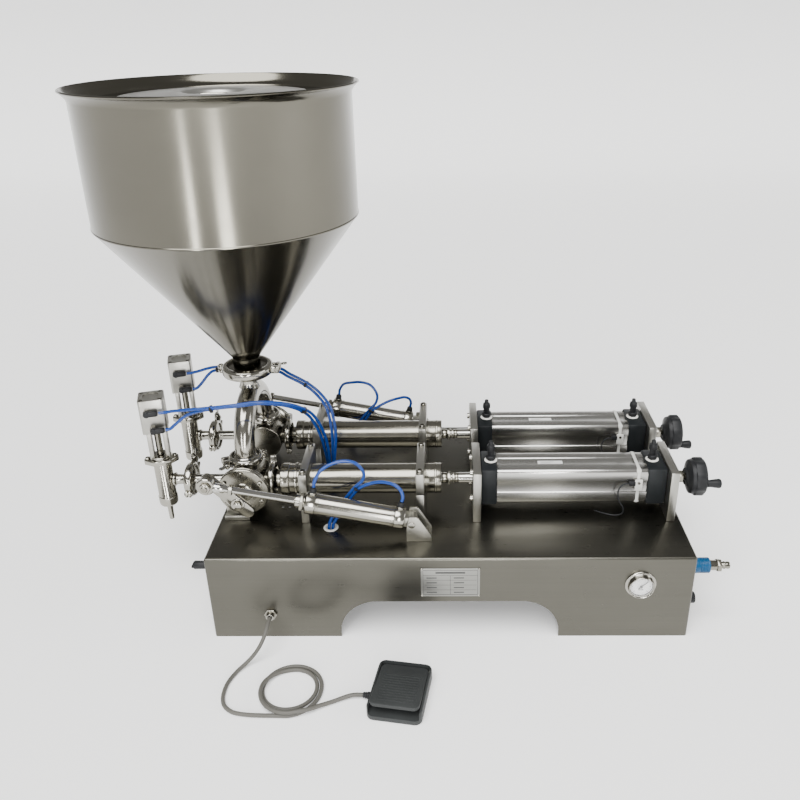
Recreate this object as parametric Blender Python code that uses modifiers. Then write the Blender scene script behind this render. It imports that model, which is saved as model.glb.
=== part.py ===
"""Double-head horizontal piston liquid filler, as separate solids in metres.

Every size below is measured in the table's own frame: X from the middle of the table,
Y from its front panel towards the back, Z up from the floor. The empty filler_frame
carries the whole machine to the part's origin, under the middle of its box.
"""
import math

import bmesh
import bpy
from mathutils import Matrix, Vector

GAP = 0.0003
STEPS = 12

# Table
TABLE_W, TABLE_D, TABLE_H = 0.860, 0.488, 0.173
SHEET = 0.002
ARCH_HALF_W, ARCH_H, ARCH_R = 0.197, 0.080, 0.068

# Two metering lines, one behind the other
LINE_Y = {"front": 0.169, "rear": 0.343}
OUTWARD = {"front": -1, "rear": 1}
AXIS_Z = 0.2335
MID_Y = (LINE_Y["front"] + LINE_Y["rear"]) / 2
PLATE_DEPTH, PLATE_TOP, PLATE_T = 0.120, 0.276, 0.015

# Drive cylinder
LEFT_PLATE_X, RIGHT_PLATE_X = 0.045, 0.402
CAP_SIZE, TUBE_SIZE, CAP_LEFT_W, CAP_RIGHT_W = 0.075, 0.071, 0.0295, 0.0350
CYLINDER_BORE, DRIVE_PISTON_R, ROD_R = 0.0315, 0.0312, 0.010
PISTON_X, PISTON_W = 0.320, 0.025
SCREW_R, SCREW_TIP, SCREW_END = 0.006, 0.360, 0.458
WHEEL_X, WHEEL_W, WHEEL_R, CRANK_R, CRANK_END = 0.4437, 0.0363, 0.0368, 0.026, 0.505

# Metering barrel
BARREL_LEFT, BARREL_RIGHT, BARREL_R, BARREL_BORE = -0.301, -0.0135, 0.0285, 0.0245
FERRULE_X, NECK_X = -0.315, -0.3309
CLAMP_X = {"left": -0.2735, "right": -0.0597}
METER_PISTON_X, METER_PISTON_W, METER_PISTON_R = -0.138, 0.025, 0.0242
COUPLING_X = (-0.0127, 0.019)

# Rotary valve, hopper and manifold share one X
VALVE_X = -0.380
DISC_R, DISC_T, BODY_R, BODY_END, FACE = 0.0475, 0.012, 0.036, 0.036, 0.048
PLUG_R, PLUG_BORE, STEM_R = 0.0217, 0.0220, 0.011
LEVER_R, LEVER_ANGLE, LEVER_W, LEVER_T = 0.068, math.radians(135), 0.024, 0.008
LEVER_FACE = 0.089
FLANGE_R, FLANGE_T, RING_R = 0.025, 0.005, 0.032
PORT_R, PORT_BORE, PIPE_R, PIPE_BORE = 0.0165, 0.012, 0.0095, 0.007
PORT_TOP = 0.2800
PIPE_JOINT_X = -0.4885

# Valve air cylinder
SWING_X, SWING_Z, SWING_OFFSET = -0.066, 0.2085, 0.1015
SWING_BARREL_R, SWING_BORE, SWING_PISTON_R, SWING_ROD_R = 0.020, 0.0165, 0.0162, 0.006
REAR_CAP, BARREL_SPAN, FRONT_CAP, NOSE_END = 0.0125, (0.036, 0.171), 0.193, 0.2115

# Filling nozzle
NOZZLE_X = -0.540
NOZZLE_TURN = math.radians(16)
NOZZLE_R, NOZZLE_BORE, NOZZLE_BASE, NOZZLE_TOP, TIP_END = 0.0165, 0.011, 0.200, 0.272, 0.145
EAR_HALF = 0.022
NOZZLE_CYL_SIZE, NOZZLE_CYL_Z, NOZZLE_CYL_H = 0.045, 0.343, 0.067

# Hopper
HOPPER_RIM_Z, HOPPER_RIM_R, HOPPER_R, HOPPER_WALL = 0.935, 0.2385, 0.226, 0.0015
CONE_TOP_Z, CONE_END_Z, OUTLET_R, HOPPER_END_Z = 0.717, 0.452, 0.0255, 0.4255
LEDGE_Z, LEDGE_R, LID_R = 0.913, 0.146, 0.156
DISH_R, DISH_DEPTH = 0.052, 0.011
HOPPER_FLANGE_R = 0.038
MANIFOLD_R, MANIFOLD_BORE, ARCH_START_Z = 0.019, 0.0165, 0.288

# Front panel and ends of the table
GAUGE_X, GAUGE_Z = 0.336, 0.1166
GLAND_X, GLAND_Z = -0.3224, 0.0531
INLET_Y, INLET_Z, INLET_END = 0.050, 0.119, 0.507
SELECTOR_Y, SELECTOR_Z = 0.030, 0.139
HOSE_R = 0.003
HOSE_PORT = {"front": (-0.2175, 0.0945), "rear": (-0.2175, 0.4175), "middle": (-0.235, MID_Y)}
GAUGE_FRONT = -0.0125

# Pedal and its cord
PEDAL_X, PEDAL_Y, PEDAL_TURN = -0.083, -0.143, math.radians(-9)
PEDAL_W, PEDAL_D = 0.092, 0.112
CORD_R = 0.0035
COIL_X, COIL_Y, COIL_OUT, COIL_IN, COIL_H = -0.268, -0.128, 0.055, 0.034, 0.0145

LEFT_END = VALVE_X - HOPPER_RIM_R
SHIFT = Vector((
    -(LEFT_END + INLET_END) / 2,
    -(GAUGE_FRONT + MID_Y + HOPPER_RIM_R) / 2,
    0,
))

STEEL = ("stainless_steel", (0.42, 0.41, 0.37), 0.28, 1.0)
ALUMINIUM = ("cast_aluminium", (0.62, 0.62, 0.59), 0.38, 1.0)
DARK_CAP = ("dark_cap", (0.045, 0.055, 0.065), 0.45, 0.0)
BLACK = ("black_plastic", (0.02, 0.02, 0.022), 0.5, 0.0)
BLUE = ("blue_hose", (0.02, 0.09, 0.42), 0.35, 0.0)
GREY = ("grey_cord", (0.14, 0.14, 0.125), 0.55, 0.0)
PEDAL_GREY = ("pedal_plastic", (0.06, 0.065, 0.065), 0.6, 0.0)

for old in list(bpy.data.objects):
    bpy.data.objects.remove(old)


def new_collection(name):
    collection = bpy.data.collections.new(name)
    bpy.context.scene.collection.children.link(collection)
    return collection


PARTS = new_collection("piston_liquid_filler")
CUTTERS = new_collection("cutters")
FRAME = bpy.data.objects.new("filler_frame", None)
FRAME.location = SHIFT
PARTS.objects.link(FRAME)


# ---------------------------------------------------------------- tools

def surface(look):
    """The material of a finish, made once."""
    name, colour, roughness, metallic = look
    if name in bpy.data.materials:
        return bpy.data.materials[name]
    made = bpy.data.materials.new(name)
    made.use_nodes = True
    shader = made.node_tree.nodes["Principled BSDF"]
    shader.inputs["Base Color"].default_value = (*colour, 1)
    shader.inputs["Roughness"].default_value = roughness
    shader.inputs["Metallic"].default_value = metallic
    return made


def add(name, data, at=(0, 0, 0), turn=(0, 0, 0), look=None, parent=None):
    """An object in the machine's frame: a named part with a look, or a hidden helper."""
    made = bpy.data.objects.new(name, data)
    made.location = at
    made.rotation_euler = turn
    made.parent = parent or FRAME
    if look is None:
        CUTTERS.objects.link(made)
        made.hide_render = True
        made.display_type = "WIRE"
    else:
        PARTS.objects.link(made)
        data.materials.append(surface(look))
    return made


def box_mesh(name, low, high, soften=0.0):
    """A box between two corners, its edges broken by a small bevel."""
    low, high = Vector(low), Vector(high)
    mesh = bpy.data.meshes.new(name)
    made = bmesh.new()
    bmesh.ops.create_cube(made, size=1)
    bmesh.ops.scale(made, vec=high - low, verts=made.verts)
    bmesh.ops.translate(made, vec=(low + high) / 2, verts=made.verts)
    if soften:
        bmesh.ops.bevel(made, geom=made.edges, offset=soften, segments=1, affect="EDGES")
    made.to_mesh(mesh)
    made.free()
    return mesh


def box(name, low, high, soften=0.0, **place):
    return add(name, box_mesh(name, low, high, soften), **place)


def turned(name, outline, ring=False, steps=STEPS, **place):
    """A turned solid about its own Z: (radius, height) from the top down the outside.

    A ring's outline comes back up its inside and is closed.
    """
    mesh = bpy.data.meshes.new(name)
    points = [(radius, 0, height) for radius, height in outline]
    edges = [(i, i + 1) for i in range(len(points) - 1)]
    if ring:
        edges.append((len(points) - 1, 0))
    mesh.from_pydata(points, edges, [])
    made = add(name, mesh, **place)
    screw = made.modifiers.new("turn", "SCREW")
    screw.steps = screw.render_steps = steps
    screw.use_merge_vertices = True
    screw.merge_threshold = 0.00001
    screw.use_normal_calculate = False
    return made


def rod(name, radius, start, end, steps=STEPS, **place):
    """A plain round bar along its own Z."""
    outline = [(0, end), (radius, end), (radius, start), (0, start)]
    return turned(name, outline, steps=steps, **place)


def plate(name, outline, low, high, **place):
    """A flat outline in X and Z, thick along Y from low to high."""
    curve = bpy.data.curves.new(name, "CURVE")
    curve.dimensions = "2D"
    curve.fill_mode = "BOTH"
    curve.extrude = (high - low) / 2
    spline = curve.splines.new("POLY")
    spline.points.add(len(outline) - 1)
    for point, (x, z) in zip(spline.points, outline):
        point.co = (x, z, 0, 1)
    spline.use_cyclic_u = True
    standing = Matrix.Translation((0, (low + high) / 2, 0)) @ Matrix.Rotation(math.pi / 2, 4, "X")
    return meshed(name, curve, standing, **place)


def meshed(name, curve, transform=Matrix(), **place):
    """A curve's solid as a welded mesh, so that it can be cut and joined."""
    guide = bpy.data.objects.new("guide", curve)
    CUTTERS.objects.link(guide)
    bpy.context.view_layer.update()
    evaluated = guide.evaluated_get(bpy.context.evaluated_depsgraph_get())
    mesh = bpy.data.meshes.new_from_object(evaluated)
    bpy.data.objects.remove(guide)
    mesh.name = name
    made = bmesh.new()
    made.from_mesh(mesh)
    bmesh.ops.remove_doubles(made, verts=made.verts, dist=0.00001)
    bmesh.ops.transform(made, matrix=transform, verts=made.verts)
    bmesh.ops.recalc_face_normals(made, faces=made.faces)
    made.to_mesh(mesh)
    made.free()
    return add(name, mesh, **place)


def smooth_route(stops, spacing):
    """Evenly spread points on a smooth curve through the stops."""
    stops = [Vector(stop) for stop in stops]
    ends = [stops[0] * 2 - stops[1], *stops, stops[-1] * 2 - stops[-2]]
    fine = []
    for a, b, c, d in zip(ends, ends[1:], ends[2:], ends[3:]):
        for step in range(16):
            t = step / 16
            fine.append(0.5 * (2 * b + (c - a) * t + (2 * a - 5 * b + 4 * c - d) * t ** 2
                               + (3 * b - 3 * c + d - a) * t ** 3))
    fine.append(stops[-1])
    length = sum((q - p).length for p, q in zip(fine, fine[1:]))
    count = max(2, round(length / spacing))
    route = [fine[0]]
    walked = 0.0
    for p, q in zip(fine, fine[1:]):
        piece = (q - p).length
        while len(route) < count and walked + piece >= len(route) * length / count:
            route.append(p.lerp(q, (len(route) * length / count - walked) / piece))
        walked += piece
    route.append(fine[-1])
    return route


def cord_curve(name, route, radius, sides):
    """A round bar along a list of points, as a curve."""
    curve = bpy.data.curves.new(name, "CURVE")
    curve.dimensions = "3D"
    curve.bevel_depth = radius
    curve.bevel_resolution = sides // 2 - 2
    curve.use_fill_caps = True
    spline = curve.splines.new("POLY")
    spline.points.add(len(route) - 1)
    for point, place_at in zip(spline.points, route):
        point.co = (*place_at, 1)
    return curve


def tube(name, route, radius, sides=6, **place):
    """The same as a welded mesh."""
    return meshed(name, cord_curve(name, route, radius, sides), Matrix(), **place)


def combine(piece, operation, *others):
    """Join others to a piece, or cut them from it."""
    for other in others:
        step = piece.modifiers.new(other.name, "BOOLEAN")
        step.operation = operation
        step.solver = "EXACT"
        step.object = other
    return piece


def tidy(piece):
    """Merge the doubled points that several cuts can leave along a seam."""
    weld = piece.modifiers.new("weld", "WELD")
    weld.merge_threshold = 0.00001
    return piece


def join(piece, *others):
    return combine(piece, "UNION", *others)


def cut(piece, *others):
    return combine(piece, "DIFFERENCE", *others)


ALONG_X = (0, math.pi / 2, 0)
ALONG_Y = (-math.pi / 2, 0, 0)


# ---------------------------------------------------------------- table

def build_table():
    shell = box_mesh("base_housing", (-TABLE_W / 2, 0, 0), (TABLE_W / 2, TABLE_D, TABLE_H))
    made = bmesh.new()
    made.from_mesh(shell)
    floor = [face for face in made.faces if face.normal.z < -0.5]
    bmesh.ops.delete(made, geom=floor, context="FACES")
    folds = [edge for edge in made.edges if not edge.is_boundary]
    bmesh.ops.bevel(made, geom=folds, offset=0.004, segments=2, affect="EDGES")
    made.to_mesh(shell)
    made.free()
    housing = add("base_housing", shell, look=STEEL)
    wall = housing.modifiers.new("sheet", "SOLIDIFY")
    wall.thickness = SHEET
    wall.offset = -1
    wall.use_even_offset = True
    arch = [(-ARCH_HALF_W, -0.01)]
    for side in (-1, 1):
        for step in range(7):
            angle = math.pi / 2 * step / 6
            if side > 0:
                angle = math.pi / 2 - angle
            x = ARCH_HALF_W - ARCH_R + ARCH_R * math.cos(angle)
            arch.append((side * x, ARCH_H - ARCH_R + ARCH_R * math.sin(angle)))
    arch.append((ARCH_HALF_W, -0.01))
    cut(housing, plate("arch_cutter", arch, -0.02, TABLE_D + 0.02))
    for name, (x, y) in HOSE_PORT.items():
        cut(housing, rod(f"{name}_hose_hole", 0.011, 0.15, 0.20, at=(x, y, 0)))
    cut(housing, rod("gauge_hole", 0.0195, -0.01, 0.01, at=(GAUGE_X, 0, GAUGE_Z), turn=ALONG_Y))
    cut(housing, rod("gland_hole", 0.0080, -0.01, 0.01, at=(GLAND_X, 0, GLAND_Z), turn=ALONG_Y))
    cut(housing, rod("inlet_hole", 0.0075, 0.42, 0.44, at=(0, INLET_Y, INLET_Z), turn=ALONG_X))
    cut(housing, rod("selector_hole", 0.0070, -0.44, -0.42,
                     at=(0, SELECTOR_Y, SELECTOR_Z), turn=ALONG_X))
    island = box("valve_island", (-0.150, 0.215, 0.118), (0.010, 0.295, TABLE_H - SHEET - GAP),
                 0.002, look=ALUMINIUM)
    for index in range(4):
        x = -0.132 + index * 0.036
        join(island, box(f"pilot_{index}", (x, 0.195, 0.098), (x + 0.022, 0.300, 0.130)))


def build_gauge():
    front = (math.pi / 2, 0, 0)
    place = {"at": (GAUGE_X, 0, GAUGE_Z), "turn": front}
    outline = [
        (0, 0.0065), (0.0200, 0.0065), (0.0200, 0.0105), (0.0212, 0.0125), (0.0225, 0.0105),
        (0.0225, 0.0023), (0.0275, 0.0023), (0.0275, GAP), (0.0190, GAP), (0.0190, -0.022),
        (0.0070, -0.022), (0.0070, -0.034), (0, -0.034),
    ]
    turned("gauge_case", outline, look=STEEL, **place)
    pointer = [(-0.0011, -0.006), (0.0011, -0.006), (0.0005, 0.016), (-0.0005, 0.016)]
    needle = plate("gauge_needle", pointer, -0.0078, -0.0070,
                   at=(GAUGE_X, 0, GAUGE_Z), turn=(0, math.radians(45), 0), look=BLACK)
    join(needle, rod("needle_hub", 0.0026, 0.0068, 0.0086, steps=12, **place))


def build_panel_fittings():
    gland = [
        (0, 0.0125), (0.0070, 0.0125), (0.0085, 0.0105), (0.0085, 0.0045), (0.0120, 0.0045),
        (0.0120, GAP), (0.0077, GAP), (0.0077, -0.0023), (0.0120, -0.0023), (0.0120, -0.007), (0, -0.007),
    ]
    turned("cable_gland", gland, look=STEEL, at=(GLAND_X, 0, GLAND_Z), turn=(math.pi / 2, 0, 0))
    inlet = [
        (0, INLET_END), (0.0060, INLET_END), (0.0070, 0.503), (0.0062, 0.498), (0.0070, 0.494),
        (0.0100, 0.494), (0.0120, 0.4905), (0.0120, 0.4835), (0.0095, 0.4835), (0.0095, 0.4385),
        (0.0125, 0.4385), (0.0125, 0.4303), (0.0070, 0.4303), (0.0070, 0.4277), (0.0110, 0.4277),
        (0.0110, 0.4215), (0, 0.4215),
    ]
    turned("air_valve_body", inlet, at=(0, INLET_Y, INLET_Z), turn=ALONG_X, look=STEEL)
    sleeve = [(0.0135, 0.4700), (0.0145, 0.4680), (0.0145, 0.4410), (0.0135, 0.4390),
              (0.0098, 0.4390), (0.0098, 0.4700)]
    turned("air_valve_sleeve", sleeve, ring=True, at=(0, INLET_Y, INLET_Z), turn=ALONG_X, look=BLUE)
    left = -TABLE_W / 2
    at_selector = {"at": (left, SELECTOR_Y, SELECTOR_Z), "turn": (0, -math.pi / 2, 0)}
    bezel = [
        (0.0065, 0.005), (0.0110, 0.004), (0.0110, GAP), (0.0067, GAP), (0.0067, -0.0023),
        (0.0110, -0.0023), (0.0110, -0.012), (0.0050, -0.012), (0.0050, 0.005),
    ]
    turned("selector_bezel", bezel, ring=True, look=STEEL, **at_selector)
    knob = turned("selector_knob", [
        (0, 0.030), (0.0070, 0.030), (0.0080, 0.028), (0.0075, 0.0053), (0.0047, 0.0053),
        (0.0047, -0.010), (0, -0.010)], look=BLACK, **at_selector)
    join(knob, box("selector_bar", (-0.002, -0.0075, 0.028), (0.002, 0.0075, 0.0315), **at_selector))


# ---------------------------------------------------------------- hopper side

def build_hopper():
    place = {"at": (VALVE_X, MID_Y, 0)}
    wall = HOPPER_WALL
    outline = [
        (HOPPER_RIM_R - 0.0025, HOPPER_RIM_Z), (HOPPER_RIM_R, HOPPER_RIM_Z - 0.003),
        (HOPPER_R, HOPPER_RIM_Z - 0.016), (HOPPER_R, CONE_TOP_Z), (OUTLET_R, CONE_END_Z),
        (OUTLET_R, HOPPER_END_Z + FLANGE_T), (HOPPER_FLANGE_R, HOPPER_END_Z + FLANGE_T),
        (HOPPER_FLANGE_R, HOPPER_END_Z), (OUTLET_R - wall, HOPPER_END_Z),
        (OUTLET_R - wall, CONE_END_Z - 0.001), (HOPPER_R - wall, CONE_TOP_Z - 0.001),
        (HOPPER_R - wall, LEDGE_Z - 0.002), (LEDGE_R, LEDGE_Z - 0.002), (LEDGE_R, LEDGE_Z),
        (HOPPER_R - wall, LEDGE_Z), (HOPPER_R - wall, HOPPER_RIM_Z - 0.0165),
    ]
    turned("hopper", outline, ring=True, steps=32, look=STEEL, **place)
    top = LEDGE_Z + GAP + 0.004
    lid = turned("hopper_lid", [
        (0, top - DISH_DEPTH), (DISH_R - 0.012, top - DISH_DEPTH), (DISH_R, top + 0.004),
        (DISH_R + 0.008, top + 0.005), (LID_R - 0.004, top), (LID_R, top - 0.002),
        (LID_R, LEDGE_Z + GAP), (LID_R - 0.002, LEDGE_Z + GAP),
        (LID_R - 0.006, top - 0.002), (DISH_R + 0.006, top + 0.003),
        (DISH_R - 0.011, top - DISH_DEPTH - 0.002),
        (0, top - DISH_DEPTH - 0.002)], steps=24, look=STEEL, **place)
    grip = [(-DISH_R + 0.002, 0, top + 0.003), (DISH_R - 0.002, 0, top + 0.003)]
    join(lid, tube("lid_bar", smooth_route(grip, 0.02), 0.005, **place))
    low = HOPPER_END_Z - GAP - FLANGE_T
    inner = HOPPER_FLANGE_R + 0.0022
    lip = OUTLET_R + 0.0055
    ring = turned("hopper_clamp", [
        (0.044, HOPPER_END_Z + 0.0095), (0.048, HOPPER_END_Z + 0.0070), (0.048, low - 0.0025),
        (0.044, low - 0.0050), (lip, low - 0.0050), (lip, low - GAP), (inner, low - GAP),
        (inner, HOPPER_END_Z + FLANGE_T + GAP), (lip, HOPPER_END_Z + FLANGE_T + GAP),
        (lip, HOPPER_END_Z + 0.0095)], ring=True, look=STEEL, **place)
    mid = HOPPER_END_Z
    for side in (-1, 1):
        join(ring, box(f"clamp_ear_{side}", (0.041, side * 0.013 - 0.0045, mid - 0.007),
                       (0.064, side * 0.013 + 0.0045, mid + 0.007), **place))
    join(ring, box("clamp_hinge", (-0.060, -0.007, mid - 0.006), (-0.045, 0.007, mid + 0.006), **place))
    bolt_at = (VALVE_X + 0.056, MID_Y, mid)
    join(ring, rod("clamp_bolt", 0.0042, -0.030, 0.022, steps=10, at=bolt_at, turn=ALONG_Y))
    tidy(ring)


def clamp_socket(name, radius, start, face, mate_radius, **place):
    """A pipe's flanged end, with the clamp that reaches round its mate's flange.

    Heights run along the pipe towards the mate, which passes through the clamp's lip.
    """
    far = face + FLANGE_T + 2 * GAP
    high = far + 0.0042
    low = face - FLANGE_T - 0.0045
    inner = FLANGE_R + 0.0012
    return turned(name, [
        (0, face), (inner, face), (inner, far), (mate_radius + 0.002, far), (mate_radius + 0.002, high),
        (RING_R - 0.003, high), (RING_R, high - 0.003), (RING_R, low + 0.003), (RING_R - 0.003, low),
        (radius, low), (radius, start), (0, start)], steps=16, **place)


def build_manifold():
    radius = (LINE_Y["rear"] - LINE_Y["front"]) / 2
    bottom = PORT_TOP + GAP
    arc = [(0, -radius, bottom + 0.005)]
    arc += [(0, -radius * math.cos(math.pi * i / 12), ARCH_START_Z + radius * math.sin(math.pi * i / 12))
            for i in range(13)]
    arc.append((0, radius, bottom + 0.005))
    inner_arc = [(0, y, z) for _, y, z in arc]
    inner_arc[0] = (0, -radius, bottom - 0.005)
    inner_arc[-1] = (0, radius, bottom - 0.005)
    place = {"at": (VALVE_X, MID_Y, 0)}
    manifold = tube("manifold", arc, MANIFOLD_R, sides=12, look=STEEL, **place)
    neck_top = HOPPER_END_Z - GAP
    neck = turned("manifold_neck", [
        (0, neck_top), (HOPPER_FLANGE_R, neck_top), (HOPPER_FLANGE_R, neck_top - FLANGE_T),
        (0.0195, neck_top - FLANGE_T), (0.0180, neck_top - 0.014), (0.0165, neck_top - 0.020),
        (0.0165, 0.372), (0, 0.372)], **place)
    join(manifold, neck)
    for name, y in LINE_Y.items():
        join(manifold, clamp_socket(f"{name}_leg_socket", MANIFOLD_R + 0.0012, -ARCH_START_Z - 0.008, -bottom,
                                    PORT_R, at=(VALVE_X, y, 0), turn=(math.pi, 0, 0)))
    cut(manifold, tube("manifold_bore", inner_arc, MANIFOLD_BORE, sides=12, **place))
    cut(manifold, rod("manifold_neck_bore", 0.0130, 0.372, 0.45, **place))
    tidy(manifold)


# ---------------------------------------------------------------- one metering line

def build_barrel(name, y):
    place = {"at": (0, y, AXIS_Z), "turn": ALONG_X}
    turned(f"{name}_meter_barrel", [
        (BARREL_R, BARREL_RIGHT), (BARREL_R, BARREL_LEFT - GAP), (0.0305, BARREL_LEFT),
        (0.0305, FERRULE_X + 0.001), (0.0295, FERRULE_X), (0.0175, FERRULE_X), (0.0175, NECK_X),
        (PORT_BORE, NECK_X), (PORT_BORE, BARREL_LEFT + 0.004), (BARREL_BORE, BARREL_LEFT + 0.006),
        (BARREL_BORE, BARREL_RIGHT)], ring=True, steps=20, look=STEEL, **place)
    for side, x in CLAMP_X.items():
        clamp = box(f"{name}_barrel_clamp_{side}", (x, y - PLATE_DEPTH / 2, TABLE_H + GAP),
                    (x + PLATE_T, y + PLATE_DEPTH / 2, PLATE_TOP), 0.0012, look=ALUMINIUM)
        bore_r = BARREL_R + 2 * GAP
        cut(clamp, rod(f"{name}_{side}_clamp_bore", bore_r, x - 0.01, x + 0.03, steps=20, **place))
        middle = x + PLATE_T / 2
        for hand in (-1, 1):
            near = hand * (BARREL_R - 0.003)
            far = hand * (PLATE_DEPTH / 2 + 0.01)
            cut(clamp, box(f"{name}_{side}_slit_{hand}", (x - 0.01, y + min(near, far), AXIS_Z - 0.0008),
                           (x + 0.03, y + max(near, far), AXIS_Z + 0.0008)))
            join(clamp, turned(f"{name}_{side}_bolt_{hand}", [
                (0, PLATE_TOP + 0.0045), (0.0052, PLATE_TOP + 0.0045), (0.0058, PLATE_TOP - 0.001),
                (0.0034, PLATE_TOP - 0.002), (0.0034, AXIS_Z - 0.012), (0, AXIS_Z - 0.012)],
                steps=8, at=(middle, y + hand * 0.049, 0)))


def build_drive(name, y):
    place = {"at": (0, y, AXIS_Z), "turn": ALONG_X}
    holes = {"left": ROD_R + 3 * GAP, "right": SCREW_R + GAP}
    for side, x in (("left", LEFT_PLATE_X), ("right", RIGHT_PLATE_X)):
        end = box(f"{name}_end_plate_{side}", (x, y - PLATE_DEPTH / 2, TABLE_H + GAP),
                  (x + PLATE_T, y + PLATE_DEPTH / 2, PLATE_TOP), 0.0012, look=ALUMINIUM)
        cut(end, rod(f"{name}_{side}_plate_hole", holes[side], x - 0.01, x + 0.03, **place))
    left = LEFT_PLATE_X + PLATE_T + GAP
    right = RIGHT_PLATE_X - GAP
    spans = {"left": (left, left + CAP_LEFT_W), "right": (right - CAP_RIGHT_W, right)}
    port_x = {"left": 0.0795, "right": 0.380}
    half = CAP_SIZE / 2
    for side, (low, high) in spans.items():
        cap = box(f"{name}_cylinder_cap_{side}", (low, y - half, AXIS_Z - half),
                  (high, y + half, AXIS_Z + half), 0.003, look=DARK_CAP)
        top = AXIS_Z + half
        join(cap, turned(f"{name}_{side}_silencer", [
            (0, top + 0.042), (0.0035, top + 0.041), (0.0040, top + 0.034), (0.0070, top + 0.033),
            (0.0075, top + 0.022), (0.0060, top + 0.016), (0.0090, top + 0.014), (0.0095, top + 0.003),
            (0.0120, top + 0.002), (0.0120, top - 0.0015), (0, top - 0.0015)],
            steps=10, at=(port_x[side], y, 0)))
        cut(cap, rod(f"{name}_{side}_cap_hole", holes[side], low - 0.01, high + 0.01, **place))
    start, end = spans["left"][1] + GAP, spans["right"][0] - GAP
    half = TUBE_SIZE / 2
    barrel = box(f"{name}_cylinder_tube", (start, y - half, AXIS_Z - half), (end, y + half, AXIS_Z + half),
                 look=ALUMINIUM)
    rounding = barrel.modifiers.new("corners", "BEVEL")
    rounding.width = 0.007
    rounding.segments = 3
    rounding.limit_method = "WEIGHT"
    weights = barrel.data.attributes.new("bevel_weight_edge", "FLOAT", "EDGE")
    for edge in barrel.data.edges:
        a, b = (barrel.data.vertices[i].co for i in edge.vertices)
        weights.data[edge.index].value = 1.0 if abs(a.x - b.x) > 0.1 else 0.0
    cut(barrel, rod(f"{name}_tube_bore", CYLINDER_BORE, start - 0.01, end + 0.01, steps=20, **place))
    turned(f"{name}_drive_rod", [
        (0, PISTON_X + PISTON_W), (DRIVE_PISTON_R, PISTON_X + PISTON_W), (DRIVE_PISTON_R, PISTON_X),
        (ROD_R, PISTON_X), (ROD_R, COUPLING_X[1]), (0.0145, COUPLING_X[1]), (0.0145, COUPLING_X[1] - 0.009),
        (0.0110, COUPLING_X[1] - 0.010), (0.0110, COUPLING_X[0] + 0.011), (0.0155, COUPLING_X[0] + 0.010),
        (0.0155, COUPLING_X[0]), (ROD_R, COUPLING_X[0]), (ROD_R, METER_PISTON_X + METER_PISTON_W),
        (METER_PISTON_R, METER_PISTON_X + METER_PISTON_W), (METER_PISTON_R, METER_PISTON_X),
        (0, METER_PISTON_X)], steps=20, look=STEEL, **place)
    screw = rod(f"{name}_stop_screw", SCREW_R, SCREW_TIP, SCREW_END, look=STEEL, **place)
    join(screw, rod(f"{name}_lock_nut", 0.0125, 0.4305, 0.4405, steps=6, **place))
    wheel = turned(f"{name}_handwheel", [
        (0, WHEEL_X + WHEEL_W - 0.003), (0.012, WHEEL_X + WHEEL_W - 0.003), (0.014, WHEEL_X + WHEEL_W),
        (0.034, WHEEL_X + WHEEL_W), (WHEEL_R, WHEEL_X + WHEEL_W - 0.006), (WHEEL_R, WHEEL_X + 0.014),
        (0.034, WHEEL_X + 0.007), (0.018, WHEEL_X + 0.004), (0.016, WHEEL_X), (SCREW_R + GAP, WHEEL_X),
        (SCREW_R + GAP, SCREW_END + GAP), (0, SCREW_END + GAP)], steps=20, look=BLACK, **place)
    crank_turn = {"front": math.radians(90), "rear": math.radians(20)}[name]
    crank = {"at": (0, y - CRANK_R * math.sin(crank_turn), AXIS_Z - CRANK_R * math.cos(crank_turn)),
             "turn": ALONG_X}
    join(wheel, turned(f"{name}_crank", [
        (0, CRANK_END), (0.0075, CRANK_END), (0.0090, CRANK_END - 0.002), (0.0072, WHEEL_X + 0.02),
        (0, WHEEL_X + 0.02)], steps=8, **crank))


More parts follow.
